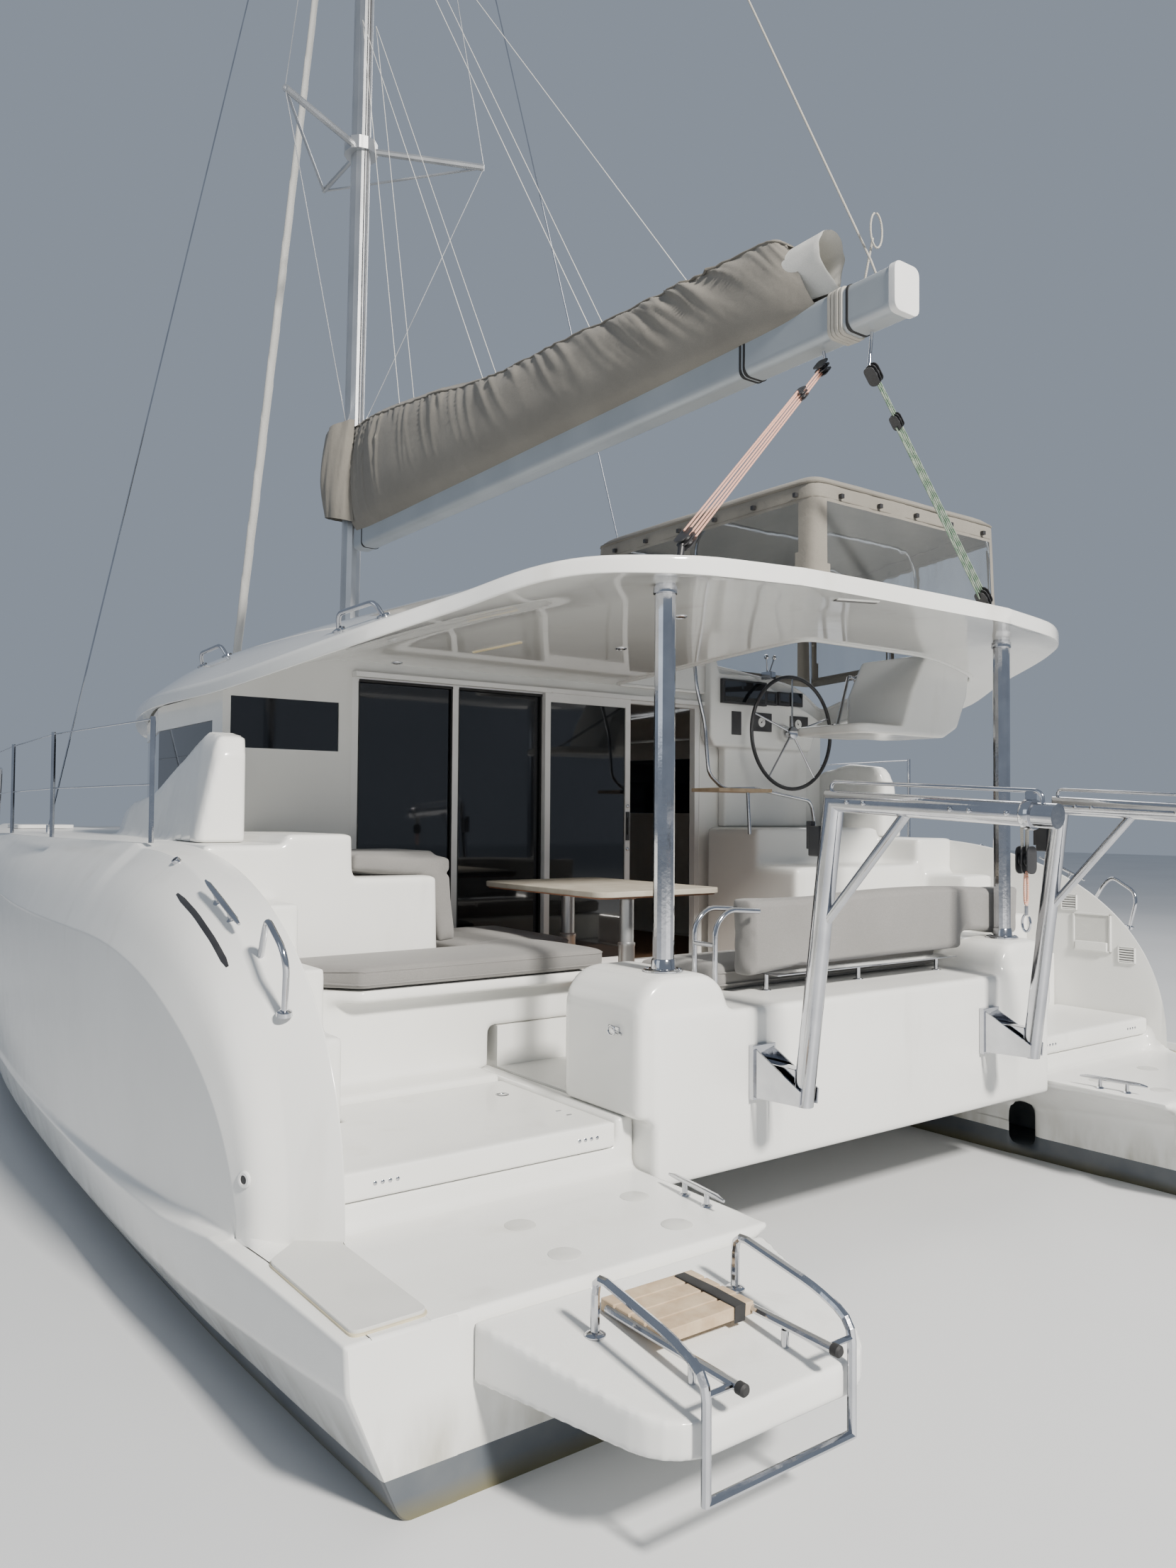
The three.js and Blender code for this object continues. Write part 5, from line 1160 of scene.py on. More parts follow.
# Doors: seals, beads, handle and lock
DOOR_SEALS = (-1.616 + 0.004, -0.95 - 0.025, -0.95 + 0.025, -0.27 - 0.025)
piece("door_seals", RUBBER, *((block, (x - 0.004, -2.027, 1.02), (x + 0.004, -2.012, 2.83), 0.001)
                              for x in DOOR_SEALS))
piece("door_beads", RUBBER, *((block, (x0, -2.034, z), (x1, -2.026, z + 0.016), 0.001)
                              for x0, x1 in ((-1.613, -0.973), (-0.927, -0.293)) for z in (2.826, 1.006)))
piece("door_pull", BLACK, (block, (0.392, -2.078, 1.86), (0.424, -2.069, 2.06), 0.004),
      (block, (0.400, -2.088, 1.90), (0.416, -2.077, 2.02), 0.003), body="door_leaf")
LOCK = ((0, 0), (0.013, 0), (0.013, 0.006), (0.009, 0.009), (0, 0.009))
piece("door_lock", STEEL, *((turned, LOCK, (0.408, -2.07, z), AFT, 20) for z in (1.80, 2.10)),
      body="door_leaf")


def roof_rail(feet, side):
    """A handrail on the roof's shoulder between two feet, each a place and a normal."""
    p, n, q, m = flipped([v for foot in feet for v in foot], side)
    lift = (n + m + Z_AXIS).normalized() * 0.075
    line = rounded([p, p.lerp(q, 0.1) + lift, q.lerp(p, 0.1) + lift, q], 0.035)
    plates = [foot_plate(at, out, (-0.004, 0.008, 0.012), [0.034, 0.031, 0.016])
              for at, out in ((p, n), (q, m))]
    return [(bar, line, RAIL_RADIUS, 14), *plates]


RAIL_PIXELS = (((478, 889), (541, 869)), ((277, 925), (313, 910)))
for number, pixels in enumerate(RAIL_PIXELS, 1):
    feet = [seen(ROOF_SKIN, *pixel) for pixel in pixels]
    both_sides(f"roof_rail_{number}", STEEL, lambda side: roof_rail(feet, side))

# Light strip, round lights and grille in the ceiling
LAMP = ((0, 0), (0.035, 0), (0.034, 0.004), (0.026, 0.007), (0.024, 0.004), (0, 0.004))
piece("ceiling_strip", WARM, (ribbon, *line_on(ROOF_SKIN, ((668, 920), (735, 906)), 6), 0.02, 0.006),
      slot="gelcoat")
piece("ceiling_lights", STEEL, *((turned, LAMP, *seen(ROOF_SKIN, *pixel), 28)
                                 for pixel in ((876, 915), (960, 870), (560, 935))))
grille = line_on(ROOF_SKIN, ((1178, 846), (1236, 850)), 5)
piece("ceiling_grille", WHITE, (ribbon, *grille, 0.07, 0.004))
piece("ceiling_grille_slots", SHADE, (ribbon, *grille, 0.035, 0.006))


# Vents and a square recess inside the starboard quarter

def on_quarter(y, z):
    """The frame of a place on the inner face of the starboard quarter: across, up, outwards."""
    centre, normal, _, _ = STARBOARD_SKIN.find_nearest(Vector((BULWARK_INNER_X, y, z)))
    normal = normal if normal.x < 0 else -normal
    across = Z_AXIS.cross(normal).normalized()
    turn = Matrix((across, normal.cross(across), normal)).transposed().to_4x4()
    return Matrix.Translation(centre) @ turn


def placed(bm, place, *parts):
    """Parts built about the origin, then moved to a place."""
    local = bmesh.new()
    for build, *values in parts:
        build(local, *values)
    bmesh.ops.transform(local, matrix=place, verts=local.verts)
    mesh = mesh_of("scratch", local)
    bm.from_mesh(mesh)
    bpy.data.meshes.remove(mesh)


def surround(half_w, half_h, wide, high):
    """A raised border of four strips."""
    strips = (((-half_w, -half_h), (half_w, wide - half_h)), ((-half_w, half_h - wide), (half_w, half_h)),
              ((-half_w, -half_h), (wide - half_w, half_h)), ((half_w - wide, -half_h), (half_w, half_h)))
    return [(block, (*low, -0.006), (*top, high), 0.003) for low, top in strips]


VENT_LOUVRES = [(block, (-0.052, 0.0165 * k - 0.046, 0.001), (0.052, 0.0165 * k - 0.037, 0.007), 0.001)
                for k in range(6)]
for number, (y, z) in enumerate(((-3.955, 1.46), (-4.36, 1.135)), 1):
    place = on_quarter(y, z)
    piece(f"vent_{number}", WHITE, (placed, place, *surround(0.058, 0.056, 0.008, 0.009), *VENT_LOUVRES))
    piece(f"vent_back_{number}", SHADE,
          (placed, place, (block, (-0.055, -0.053, -0.004), (0.055, 0.053, 0.0025), 0.001)))
place = on_quarter(-4.12, 1.265)
piece("quarter_recess", WHITE, (placed, place, *surround(0.135, 0.13, 0.012, 0.010),
                                (block, (-0.112, -0.122, 0.0), (0.112, -0.062, 0.022), 0.006)))
# The recess's back plate is in the darker satin gelcoat as painted shade
piece("quarter_recess_back_painted_shade", PANEL_WHITE,
      (placed, place, (block, (-0.125, -0.12, -0.004), (0.125, 0.12, 0.003), 0.001)))

# Helm wheel: leather rim, five spokes, hub
HELM = Vector((1.865, -2.255, 2.677))
HELM_RADIUS = 0.43
HUB = ((0, 0), (0.02, 0), (0.045, 0.008), (0.05, 0.02), (0.05, 0.05), (0.03, 0.062), (0.018, 0.065),
       (0.018, 0.08))


def from_hub(angle, reach):
    return HELM + Vector((math.cos(angle), 0, math.sin(angle))) * reach


rim = piece("wheel_rim", BLACK, (bar, [from_hub(a, HELM_RADIUS) for a in circle(64, True)], 0.0145, 14),
            body="helm_wheel")
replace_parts(rim, "helm_wheel")
SPOKE_RADII = (0.0095, 0.008, 0.007)
spokes = [(bar, [from_hub(math.pi / 2 + a, reach) for reach in (0.03, 0.2, HELM_RADIUS)], SPOKE_RADII, 12)
          for a in circle(5)]
piece("wheel_spokes", STEEL, (turned, HUB, HELM - Y_AXIS * 0.03, Y_AXIS, 28), *spokes, body="helm_wheel")

# Helm console instruments, placed on its aft face: pixel corners
CONSOLE_Y = -2.15


def console_box(bm, u0, v0, u1, v1, depth, bevel=0.004):
    a, b = on_plane(u0, v0, CONSOLE_Y), on_plane(u1, v1, CONSOLE_Y)
    (x0, x1), (z0, z1) = sorted((a.x, b.x)), sorted((a.z, b.z))
    block(bm, (x0, CONSOLE_Y - depth, z0), (x1, CONSOLE_Y + 0.004, z1), bevel)


INSTRUMENTS = (
    ("plotter", 0.03, ((1016, 957, 1078, 997),)),
    ("displays", 0.02, ((1078, 975, 1094, 996), (1096, 976, 1112, 997), (1114, 977, 1130, 998))),
    ("gauges", 0.015, ((1062, 1005, 1087, 1033), (1114, 1010, 1138, 1034))),
    ("switches", 0.008, ((1032, 1003, 1045, 1037),)),
)
for name, depth, items in INSTRUMENTS:
    piece("helm_" + name, BLACK, *((console_box, *item, depth) for item in items))
piece("helm_screens", SCREEN, (console_box, 1019, 960, 1075, 994, 0.032, 0.001),
      *((console_box, u, 978, u + 12, 993, 0.0215, 0.001) for u in (1080, 1098, 1116)))
# Gauges: pixel of the middle, angle of the needle
GAUGES = ((1074.5, 1019, 0.8), (1126, 1022, -0.5))
DIAL_PROFILE = ((0, 0), (0.036, 0), (0.036, 0.002), (0.033, 0.003), (0, 0.003))
NEEDLE_CAP = ((0, 0), (0.006, 0), (0.005, 0.003), (0, 0.003))
piece("gauge_dials", DIAL, *((turned, DIAL_PROFILE, on_plane(u, v, CONSOLE_Y - 0.014), AFT, 28)
                             for u, v, _ in GAUGES), slot="gelcoat")


def needle(bm, u, v, angle):
    at = on_plane(u, v, CONSOLE_Y - 0.018)
    tip = Vector((math.sin(angle), 0, math.cos(angle))) * 0.028
    bar(bm, [at - tip * 0.3, at + tip], [0.0022, 0.0008], 6)
    turned(bm, NEEDLE_CAP, at, AFT, 12)


piece("gauge_needles", BLACK, *((needle, *gauge) for gauge in GAUGES))

# Throttle levers on the console's top edge
LEVER_BALL = ((0, -0.02), (0.014, -0.014), (0.02, 0), (0.014, 0.014), (0, 0.02))


def lever(bm, stand, side):
    root = stand + X_AXIS * 0.012 * side
    head = root + Vector((0.03 * side, -0.02, 0.11))
    bar(bm, [root, root.lerp(head, 0.6), head], [0.006, 0.005, 0.0045], 10)
    turned(bm, LEVER_BALL, head, head - root, 20)


stand = on_plane(1084, 948, CONSOLE_Y - 0.03)
piece("throttle", STEEL, (block, stand - Vector((0.03, 0.05, 0.06)), stand + Vector((0.03, 0.05, 0)), 0.008),
      (lever, stand, -1), (lever, stand, 1))

# Rails and tread beside the helm: x and z of their bends
HELM_Y = -2.6
HELM_RAILS = (
    ((0.56, 3.05), (0.58, 2.9), (0.66, 2.65), (0.69, 2.32), (0.83, 2.22), (1.12, 2.23)),
    ((1.06, 2.22), (1.08, 1.91)),
    ((1.12, 2.23), (1.70, 2.15), (1.74, 1.96)),
)
piece("helm_rails", STEEL, *((bar, rounded([(x, HELM_Y, z) for x, z in rail], 0.06), RAIL_RADIUS, 12)
                             for rail in HELM_RAILS))
piece("helm_tread", PALE_TEAK, (block, (0.66, -2.74, 2.20), (1.16, -2.46, 2.225), 0.006), slot="teak")

# Tube hoop at the port end of the aft backrest, and the cradle under it
HOOP = ((-0.66, 1.585), (-0.86, 1.60), (-0.94, 1.53), (-0.94, 1.205))
HOOP_PLACES = (-4.30, -4.44)
CRADLE_FOOT = ((0.011, 0), (0.026, 0), (0.026, 0.003), (0.013, 0.006))
piece("backrest_hoop", STEEL, *((bar, rounded([(x, y, z) for x, z in HOOP], 0.06), RAIL_RADIUS, 12)
                                for y in HOOP_PLACES),
      (bar, [(-0.94, y, 1.44) for y in HOOP_PLACES], 0.0115, 12))


def cradle_leg(bm, x):
    bar(bm, [(x, -4.31, 1.181), (x, -4.31, 1.264)], 0.012, 12)
    turned(bm, CRADLE_FOOT, (x, -4.31, 1.1805), Z_AXIS, 20)


cradle = piece("backrest_cradle", STEEL, (block, (-0.513, -4.422, 1.2622), (0.893, -4.282, 1.2684), 0.002),
               *((cradle_leg, x) for x in (-0.48, 0.20, 0.86)))
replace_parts(cradle, "backrest_frame")

# Ladder: four teak treads, black end caps and the strap that ties the treads down
piece("ladder_treads", PALE_TEAK, *((block, (-2.332, y - 0.002, 0.498), (-1.958, y + 0.064, 0.538), 0.006)
                                    for y in (-5.5, -5.575, -5.65, -5.725)), body="swim_ladder")
END_CAP = ((0.0145, 0), (0.018, 0.001), (0.018, 0.024), (0.012, 0.03), (0, 0.03))
# The strap: y and z of its bends, and where its upper side faces
STRAP = ((-5.73, 0.49, -0.7, 0.7), (-5.732, 0.541, -0.3, 1), (-5.60, 0.5445, 0, 1), (-5.45, 0.541, 0.3, 1),
         (-5.434, 0.49, 0.7, 0.7))
strap_line = [Vector((-2.02, y, z)) for y, z, _, _ in STRAP]
strap_up = [Vector((0, y, z)) for _, _, y, z in STRAP]
piece("ladder_caps", RUBBER, *((turned, END_CAP, (x, -6.046, 0.515), AFT, 16) for x in (-2.33, -1.96)),
      (ribbon, strap_line, strap_up, 0.045, 0.002), body="swim_ladder")
LADDER_FOOT = ((0.014, 0), (0.033, 0), (0.033, 0.004), (0.026, 0.009), (0.0145, 0.012))
piece("ladder_feet", STEEL, *((turned, LADDER_FOOT, (x, -5.54, 0.487)) for x in (-2.43, -1.86)),
      *((bar, [(x, -5.86, 0.44), (x, -5.86, 0.50)], 0.012, 12) for x in (-2.33, -1.96)))

# Davits: round tube with a mitred knee, a brace, a bracket on the beam and a thin rail along the arm
DAVIT_X, DAVIT_RADIUS = 0.85, 0.0445
DAVIT_LINE = ((-4.90, 0.80), (-5.07, 2.10), (-6.078, 2.04))
KNEE_Y, KNEE_Z = DAVIT_LINE[1]
ARM_FALL = (KNEE_Z - DAVIT_LINE[2][1]) / (KNEE_Y - DAVIT_LINE[2][0])
DAVIT_RAIL = ((-5.055, 2.12), (-5.055, 2.182), (-6.02, 2.128), (-6.02, 2.06))
DAVIT_GUSSET = ((-4.66, 0.79), (-4.93, 0.805), (-4.935, 0.87), (-4.66, 1.01))
DAVIT_BOLTS = (-5.175, -5.26, -5.672, -5.753, -5.908)
BOLT = ((0, 0), (0.011, 0), (0.010, 0.005), (0.005, 0.008), (0, 0.008))
ARM_INNER = DAVIT_RADIUS - 0.001
ARM_COLLAR = ((ARM_INNER, 0), (0.053, 0), (0.055, 0.004), (0.055, 0.034), (0.053, 0.038), (ARM_INNER, 0.038))
COLLAR_Y = -5.955


def arm_z(y):
    return KNEE_Z + (y - KNEE_Y) * ARM_FALL


def mitred(bm, points, radius):
    """A round tube along points in a plane across x, with sharp bends."""
    points = [Vector(p) for p in points]
    rings = []
    for i, p in enumerate(points):
        into = (points[max(i, 1)] - points[max(i, 1) - 1]).normalized()
        out = (points[i + 1] - p).normalized() if i < len(points) - 1 else into
        way = (into + out).normalized()
        edge = [(X_AXIS * math.cos(a) + into.cross(X_AXIS) * math.sin(a)) * radius for a in circle(36)]
        rings.append([bm.verts.new(p + e - into * (e.dot(way) / into.dot(way))) for e in edge])
    skinned(bm, rings)


def in_plane(x, line):
    return [(x, y, z) for y, z in line]


def davit(x):
    gussets = [(extruded, DAVIT_GUSSET, x + dx - 0.004, x + dx + 0.004, (1, 2, 0), 0.001)
               for dx in (-0.055, 0.055)]
    return [(mitred, in_plane(x, DAVIT_LINE), DAVIT_RADIUS),
            (bar, in_plane(x, ((-4.985, 1.545), (-5.445, 2.055))), 0.021, 20),
            (bar, rounded(in_plane(x, DAVIT_RAIL), 0.035), 0.008, 12),
            (block, (x - 0.07, -4.669, 0.78), (x + 0.07, -4.641, 1.02), 0.004),
            (block, (x - 0.03, -4.88, 0.83), (x + 0.03, -4.66, 0.95), 0.006), *gussets]


def davit_bolts(side):
    x = DAVIT_X * side
    bolts = [(turned, BOLT, (x + ARM_INNER * k, y, arm_z(y)), X_AXIS * k, 12)
             for k in (-1, 1) for y in DAVIT_BOLTS]
    return [*bolts, (turned, ARM_COLLAR, (x, COLLAR_Y, arm_z(COLLAR_Y)), (0, -1, -ARM_FALL), 32),
            (block, (x - 0.011, -5.992, 2.095), (x + 0.011, -5.958, 2.128), 0.003)]


def rope_clutch(side):
    x = DAVIT_X * side
    return [(block, (x - 0.026, -5.012, 1.865), (x + 0.026, -4.945, 1.995), 0.012),
            (block, (x - 0.014, -4.955, 1.895), (x + 0.014, -4.925, 2.015), 0.006)]


for word, side in SIDES:
    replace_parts(piece("davit_tubes_" + word, STEEL, *davit(DAVIT_X * side)), "davit_" + word)
both_sides("davit_bolts", STEEL, davit_bolts)
both_sides("davit_clutch", BLACK, rope_clutch)


def sheave_block(bm, at, size, along=(0, 0, 1)):
    """A double block: cheeks with rounded ends and the wheels between them."""
    turn = Vector(along).normalized().to_track_quat("Z", "Y").to_matrix().to_4x4()
    a, b = 0.5 * size, 0.85 * size
    outline = corners([(-a, -b), (a, -b), (a, b), (-a, b)], 0.48 * size, 6)
    cheeks = [(extruded, outline, low * size, (low + 0.08) * size, (0, 2, 1)) for low in (-0.42, -0.04, 0.34)]
    wheel = [(radius * size, height * size) for radius, height in ((0, 0), (0.4, 0), (0.3, 0.11), (0.4, 0.22),
                                                                   (0, 0.22))]
    wheels = [(turned, wheel, (0, low * size, 0), Y_AXIS, 20) for low in (-0.3, 0.08)]
    placed(bm, Matrix.Translation(Vector(at)) @ turn, *cheeks, *wheels)


# Hoisting tackle at the arm's end: block, strop and snap hook
TACKLE_Y, TACKLE_Z, STROP_FOOT = -5.955, 1.885, 1.722
TACKLE_ROPES = ((-0.014, 0.008), (0.0, -0.006), (0.014, 0.004))
STROP = ((-0.004, TACKLE_Z - 0.04), (-0.011, 1.80), (-0.009, 1.74), (0, STROP_FOOT), (0.009, 1.74),
         (0.011, 1.80), (0.004, TACKLE_Z - 0.04))


def tackle_ropes(side):
    x = DAVIT_X * side
    return [(bar, [(x + dx, TACKLE_Y + dy, 2.0), (x + dx * 0.6, TACKLE_Y + dy, TACKLE_Z + 0.03)], 0.0055, 8)
            for dx, dy in TACKLE_ROPES]


def tackle_hook(side):
    x = DAVIT_X * side
    hook = [(x, TACKLE_Y + 0.016 * math.sin(a), 1.662 + 0.03 * math.cos(a)) for a in
            (0.2 + 5.4 * k / 14 for k in range(15))]
    return [(bar, [(x, TACKLE_Y, STROP_FOOT), (x, TACKLE_Y, 1.69)], 0.007, 12), (bar, hook, 0.0045, 10)]


both_sides("davit_block", BLACK, lambda side: [(sheave_block, (DAVIT_X * side, TACKLE_Y, TACKLE_Z), 0.058)])
both_sides("davit_ropes", ROPE_GREY, tackle_ropes)
both_sides("davit_strop", ROPE_RED, lambda side: [
    (bar, rounded([(DAVIT_X * side + dx, TACKLE_Y, z) for dx, z in STROP], 0.02), 0.0045, 10)])
both_sides("davit_hook", STEEL, tackle_hook)

# Grab handle on the flank of the hanging helm seat: pixels of its feet
SEAT_SKIN = skin("helm_seat_form")
handle_feet = [seen(SEAT_SKIN, *pixel) for pixel in ((1199, 955), (1178, 1011))]
(upper, upper_out), (lower, lower_out) = handle_feet
handle = rounded([upper, upper + upper_out * 0.05, lower + lower_out * 0.05, lower], 0.03)
piece("helm_seat_handle", STEEL, (bar, handle, 0.0105, 14),
      *(foot_plate(at, out, (-0.003, 0.006, 0.010), [0.026, 0.024, 0.012]) for at, out in handle_feet))

# Boom, sail cover and running rigging
BOOM_Z = 4.63
BOOM_HALF = (0.09, 0.12)
BOOM_BEND = 0.05
PIN_Y = 1.545


def boom_hoop(bm, aft_y, wide, grow):
    """A band round the boom, forward from a place along it."""
    a, b = BOOM_HALF[0] + grow, BOOM_HALF[1] + grow
    outline = corners([(x, BOOM_Z + z) for x, z in ((-a, -b), (a, -b), (a, b), (-a, b))], BOOM_BEND, 8)
    extruded(bm, outline, aft_y, aft_y + wide, (0, 2, 1), min(0.004, wide / 5))


STROPS = ((-4.45, 0.006), (-4.425, 0.008), (-4.40, 0.007), (-4.375, 0.006))
piece("boom_end_cap", COATED, (boom_hoop, -4.785, 0.04, 0.004), body="boom")
piece("boom_bands", RUBBER, *((boom_hoop, y, 0.018, 0.0025) for y in (-4.49, -3.745, -3.715, 1.30)),
      body="boom")
piece("boom_strops", ROPE_GREY, *((boom_hoop, y, 0.022, grow) for y, grow in STROPS), body="boom")

# Sail cover: y, half width, rise above the boom's middle; and its outline from the foot to the top
COVER_SECTIONS = ((-4.32, 0.10, 0.55), (-4.05, 0.14, 0.615), (-3.5, 0.16, 0.635), (-2.7, 0.185, 0.675),
                  (-1.8, 0.195, 0.745), (-0.9, 0.212, 0.805), (-0.1, 0.215, 0.95), (0.7, 0.226, 1.06),
                  (1.15, 0.215, 1.11), (1.42, 0.185, 1.12))
COVER_OUTLINE = ((0.40, 0.0), (0.80, 0.10), (0.985, 0.30), (0.98, 0.52), (0.86, 0.74), (0.60, 0.90),
                 (0.20, 0.985))
COVER_FOOT = BOOM_Z + 0.035
COVER_STEPS, COVER_AROUND = 300, 44
HEM_AT = 0.86
COARSE_FOLD, SHARP_FOLD, BELLY = 0.030, 0.032, 0.010
AFT_SLANT, SLANT_STEPS = 0.33, 32


def rough(*place):
    """Smooth noise at a place."""
    return noise.noise(Vector(place))


def fold_depth(y, s, side):
    """How far a crease stands out: they start at the top hem and run down and aft."""
    q = y + (0.24 + 0.75 * limited((0.8 - y) / 3.5)) * (1 - s)
    coarse = rough(q * 4.6, s * 0.8, side * 7.0)
    ridge = max(0.0, 1 - abs(rough(q * 8.5, s * 1.1, side * 3.0 + 20)) * 4.0) ** 1.6
    near_mast = limited((y - 0.2) / 0.9)
    fade = limited((s - 0.25 + near_mast * 0.3) / 0.55) ** 1.3 * (1 - limited((s - HEM_AT) / 0.06) * 0.75)
    patch = 0.35 + 0.65 * limited(0.5 + rough(y * 1.1, 5.0, side * 2.0) * 1.6)
    belly = rough(y * 0.9, s * 1.2, side * 11.0) * BELLY * math.sin(math.pi * min(1, s * 1.1))
    return (coarse * COARSE_FOLD + ridge * SHARP_FOLD) * fade * patch + belly


def outline_point(s):
    """A place on the cover's outline, smoothly between its points."""
    last = len(COVER_OUTLINE) - 1
    j = min(int(s * last), last - 1)
    t = s * last - j
    weights = (-t ** 3 + 2 * t * t - t, 3 * t ** 3 - 5 * t * t + 2, -3 * t ** 3 + 4 * t * t + t,
               t ** 3 - t * t)
    near = [COVER_OUTLINE[max(0, min(last, j + step))] for step in (-1, 0, 1, 2)]
    return [sum(w * p[axis] for w, p in zip(weights, near)) / 2 for axis in (0, 1)]


def cover_ring(i):
    y = COVER_SECTIONS[0][0] + (COVER_SECTIONS[-1][0] - COVER_SECTIONS[0][0]) * i / COVER_STEPS
    half, rise = smooth_table(COVER_SECTIONS, y, 1), smooth_table(COVER_SECTIONS, y, 2)
    top = BOOM_Z + rise + 0.008 * rough(y * 6, 1.0, 0) + 0.012 * rough(y * 2.1, 2.0, 0)
    slant = AFT_SLANT * max(0.0, 1 - i / SLANT_STEPS) ** 1.5
    flanks = []
    for side in (1, -1):
        flank = []
        for k in range(COVER_AROUND + 1):
            s = k / COVER_AROUND
            across, up = outline_point(s)
            flank.append(Vector((side * (across * half + fold_depth(y, s, side)), y + slant * s,
                                 COVER_FOOT + (top - COVER_FOOT) * up)))
        flanks.append(flank)
    return flanks[0] + flanks[1][::-1]


cover_rings = [cover_ring(i) for i in range(COVER_STEPS + 1)]
cover = loft("sail_cover_cloth", cover_rings, CANVAS, closed=False, ends=False, body="boom", angle=75)
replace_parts(cover, "sail_cover")


def hem(side):
    """The hem's line along one flank of the cover, and the bolt rope's at its foot."""
    k = int(COVER_AROUND * HEM_AT)
    edge = [ring[k if side > 0 else -1 - k] + Vector((side * 0.001, 0, 0.0005)) for ring in cover_rings[::3]]
    foot = [(side * 0.078, y, COVER_FOOT + 0.012) for y in (-4.15, -1.5, 1.38)]
    return [(bar, edge, 0.0085, 8), (bar, foot, 0.009, 8)]


piece("cover_hems", BINDING, *hem(-1), *hem(1), body="boom")

# The sail's rolled end, white, out of the cover's open aft end and gathered down to the boom: y, fullness
ROLL = ((-3.70, 1.22), (-3.95, 1.18), (-4.08, 1.12), (-4.18, 1.05), (-4.26, 1.0), (-4.295, 0.99),
        (-4.302, 0.965))
ROLL_HALF, ROLL_UP = (0.104, 0.124), 0.377
ROLL_AROUND = 72


def roll_point(y, fat, a):
    up = math.cos(a)
    full = fat * (1 + 0.03 * rough(math.cos(a) * 2.5, math.sin(a) * 2.5, y * 4))
    slack = 0.014 * rough(a * 2, y * 3, 5)
    gather = max(0.0, (-up - 0.35) / 0.65) ** 2 * limited((-4.0 - y) / 0.25)
    return Vector((ROLL_HALF[0] * math.sin(a) * full * (1 - 0.5 * gather) + slack * 0.3,
                   y + slack - 0.05 * gather,
                   BOOM_Z + ROLL_UP - 0.1 * (y + 4.3) + ROLL_HALF[1] * up * full - 0.085 * gather))


roll = loft("sail_roll_end", [[roll_point(y, fat, a) for a in circle(ROLL_AROUND)] for y, fat in ROLL],
            SAILCLOTH, ends=False, body="boom", angle=75)

# Slack collar of the cover round the mast; it turns with the boom about the pin
COLLAR_STEPS, COLLAR_ROWS = 72, 26
COLLAR_REACH, COLLAR_TURN = 0.36, 140
COLLAR_TOP, COLLAR_FOOT = 5.71, 4.72


def collar_point(a, t):
    ahead = (1 + math.cos(a)) / 2
    top, foot = COLLAR_TOP - 0.12 * ahead, COLLAR_FOOT + 0.16 * ahead
    swelling = math.sin(math.pi * t)
    reach = COLLAR_REACH - 0.045 * max(0.0, abs(a) - 1.2) ** 2 + 0.045 * swelling * max(0, math.cos(a))
    reach += 0.016 * rough(a * 3.0 + t * 1.5, t * 1.1, 3.0) + 0.014 * rough(a * 8.0 + t * 3, t * 1.6, 8.0)
    wide = 0.86 + 0.10 * swelling
    return Vector((reach * math.sin(a) * wide, PIN_Y + 0.02 + reach * math.cos(a), foot + (top - foot) * t))


collar_angles = [math.radians(COLLAR_TURN * (2 * i / COLLAR_STEPS - 1)) for i in range(COLLAR_STEPS + 1)]
collar = loft("cover_collar",
              [[collar_point(a, k / COLLAR_ROWS) for k in range(COLLAR_ROWS + 1)] for a in collar_angles],
              CANVAS, closed=False, ends=False, body="boom", angle=75)

# Mast: its aft side's middle at the deck and at the head, y and z
MAST_FOOT_Y, MAST_FOOT_Z, MAST_HEAD_Y, MAST_HEAD_Z = 1.75, 2.76, 1.37, 17.3
LINE_RADIUS = 0.006


def mast_y(z):
    return MAST_FOOT_Y - (z - MAST_FOOT_Z) * (MAST_FOOT_Y - MAST_HEAD_Y) / (MAST_HEAD_Z - MAST_FOOT_Z)


# Lines from the mast to the cover: y on the boom, height there, height on the mast, side
LAZY_LINES = ((0.55, 5.46, 9.6, 1), (0.55, 5.46, 9.6, -1), (-0.9, 5.30, 9.6, 1), (-0.9, 5.30, 9.6, -1),
              (-2.3, 5.22, 11.2, 1), (-2.3, 5.22, 11.2, -1), (-3.3, 5.16, 11.2, -1))


def lazy_line(bm, y, low, high, side):
    bar(bm, [(0.075 * side, y, low), (0.07 * side, mast_y(high) - 0.09, high)], 0.003, 8)
    bar(bm, [(0.075 * side, y, low + 0.02), (0.12 * side, y, low - 0.11)], LINE_RADIUS, 8)


piece("lazy_lines", SAILCLOTH, *((lazy_line, *values) for values in LAZY_LINES), body="boom")
lift_loop = [(0.03 + 0.045 * math.sin(a), -4.57, 5.02 + 0.09 * math.cos(a)) for a in circle(18)]
lift_line = [(0.0, -4.6, BOOM_Z + 0.13), (0.0, -4.56, 4.86), (0.01, mast_y(17.2) - 0.1, 17.2)]
piece("topping_lift", ROPE_GREY, (bar, lift_line, LINE_RADIUS, 8),
      (bar, [(0.02, -4.5, BOOM_Z + 0.14), (0.015, -4.56, 4.98)], LINE_RADIUS, 8),
      (bar, lift_loop, 0.005, 8), body="boom")
piece("mast_track", BLACK, *((bar, [(x, mast_y(5.7) - 0.108, 5.7), (x, mast_y(17.0) - 0.069, 17.0)], 0.004, 6)
                             for x in (-0.014, 0.014)))

# Mainsheet tackles: word, block under the boom, block on the roof, rope
SHEETS = (
    ("port", (0.0, -4.245, 4.42), (-1.19, -4.47, 3.235), ROPE_RED),
    ("starboard", (0.02, -4.55, 4.30), (1.12, -4.47, 3.24), ROPE_GREEN),
)
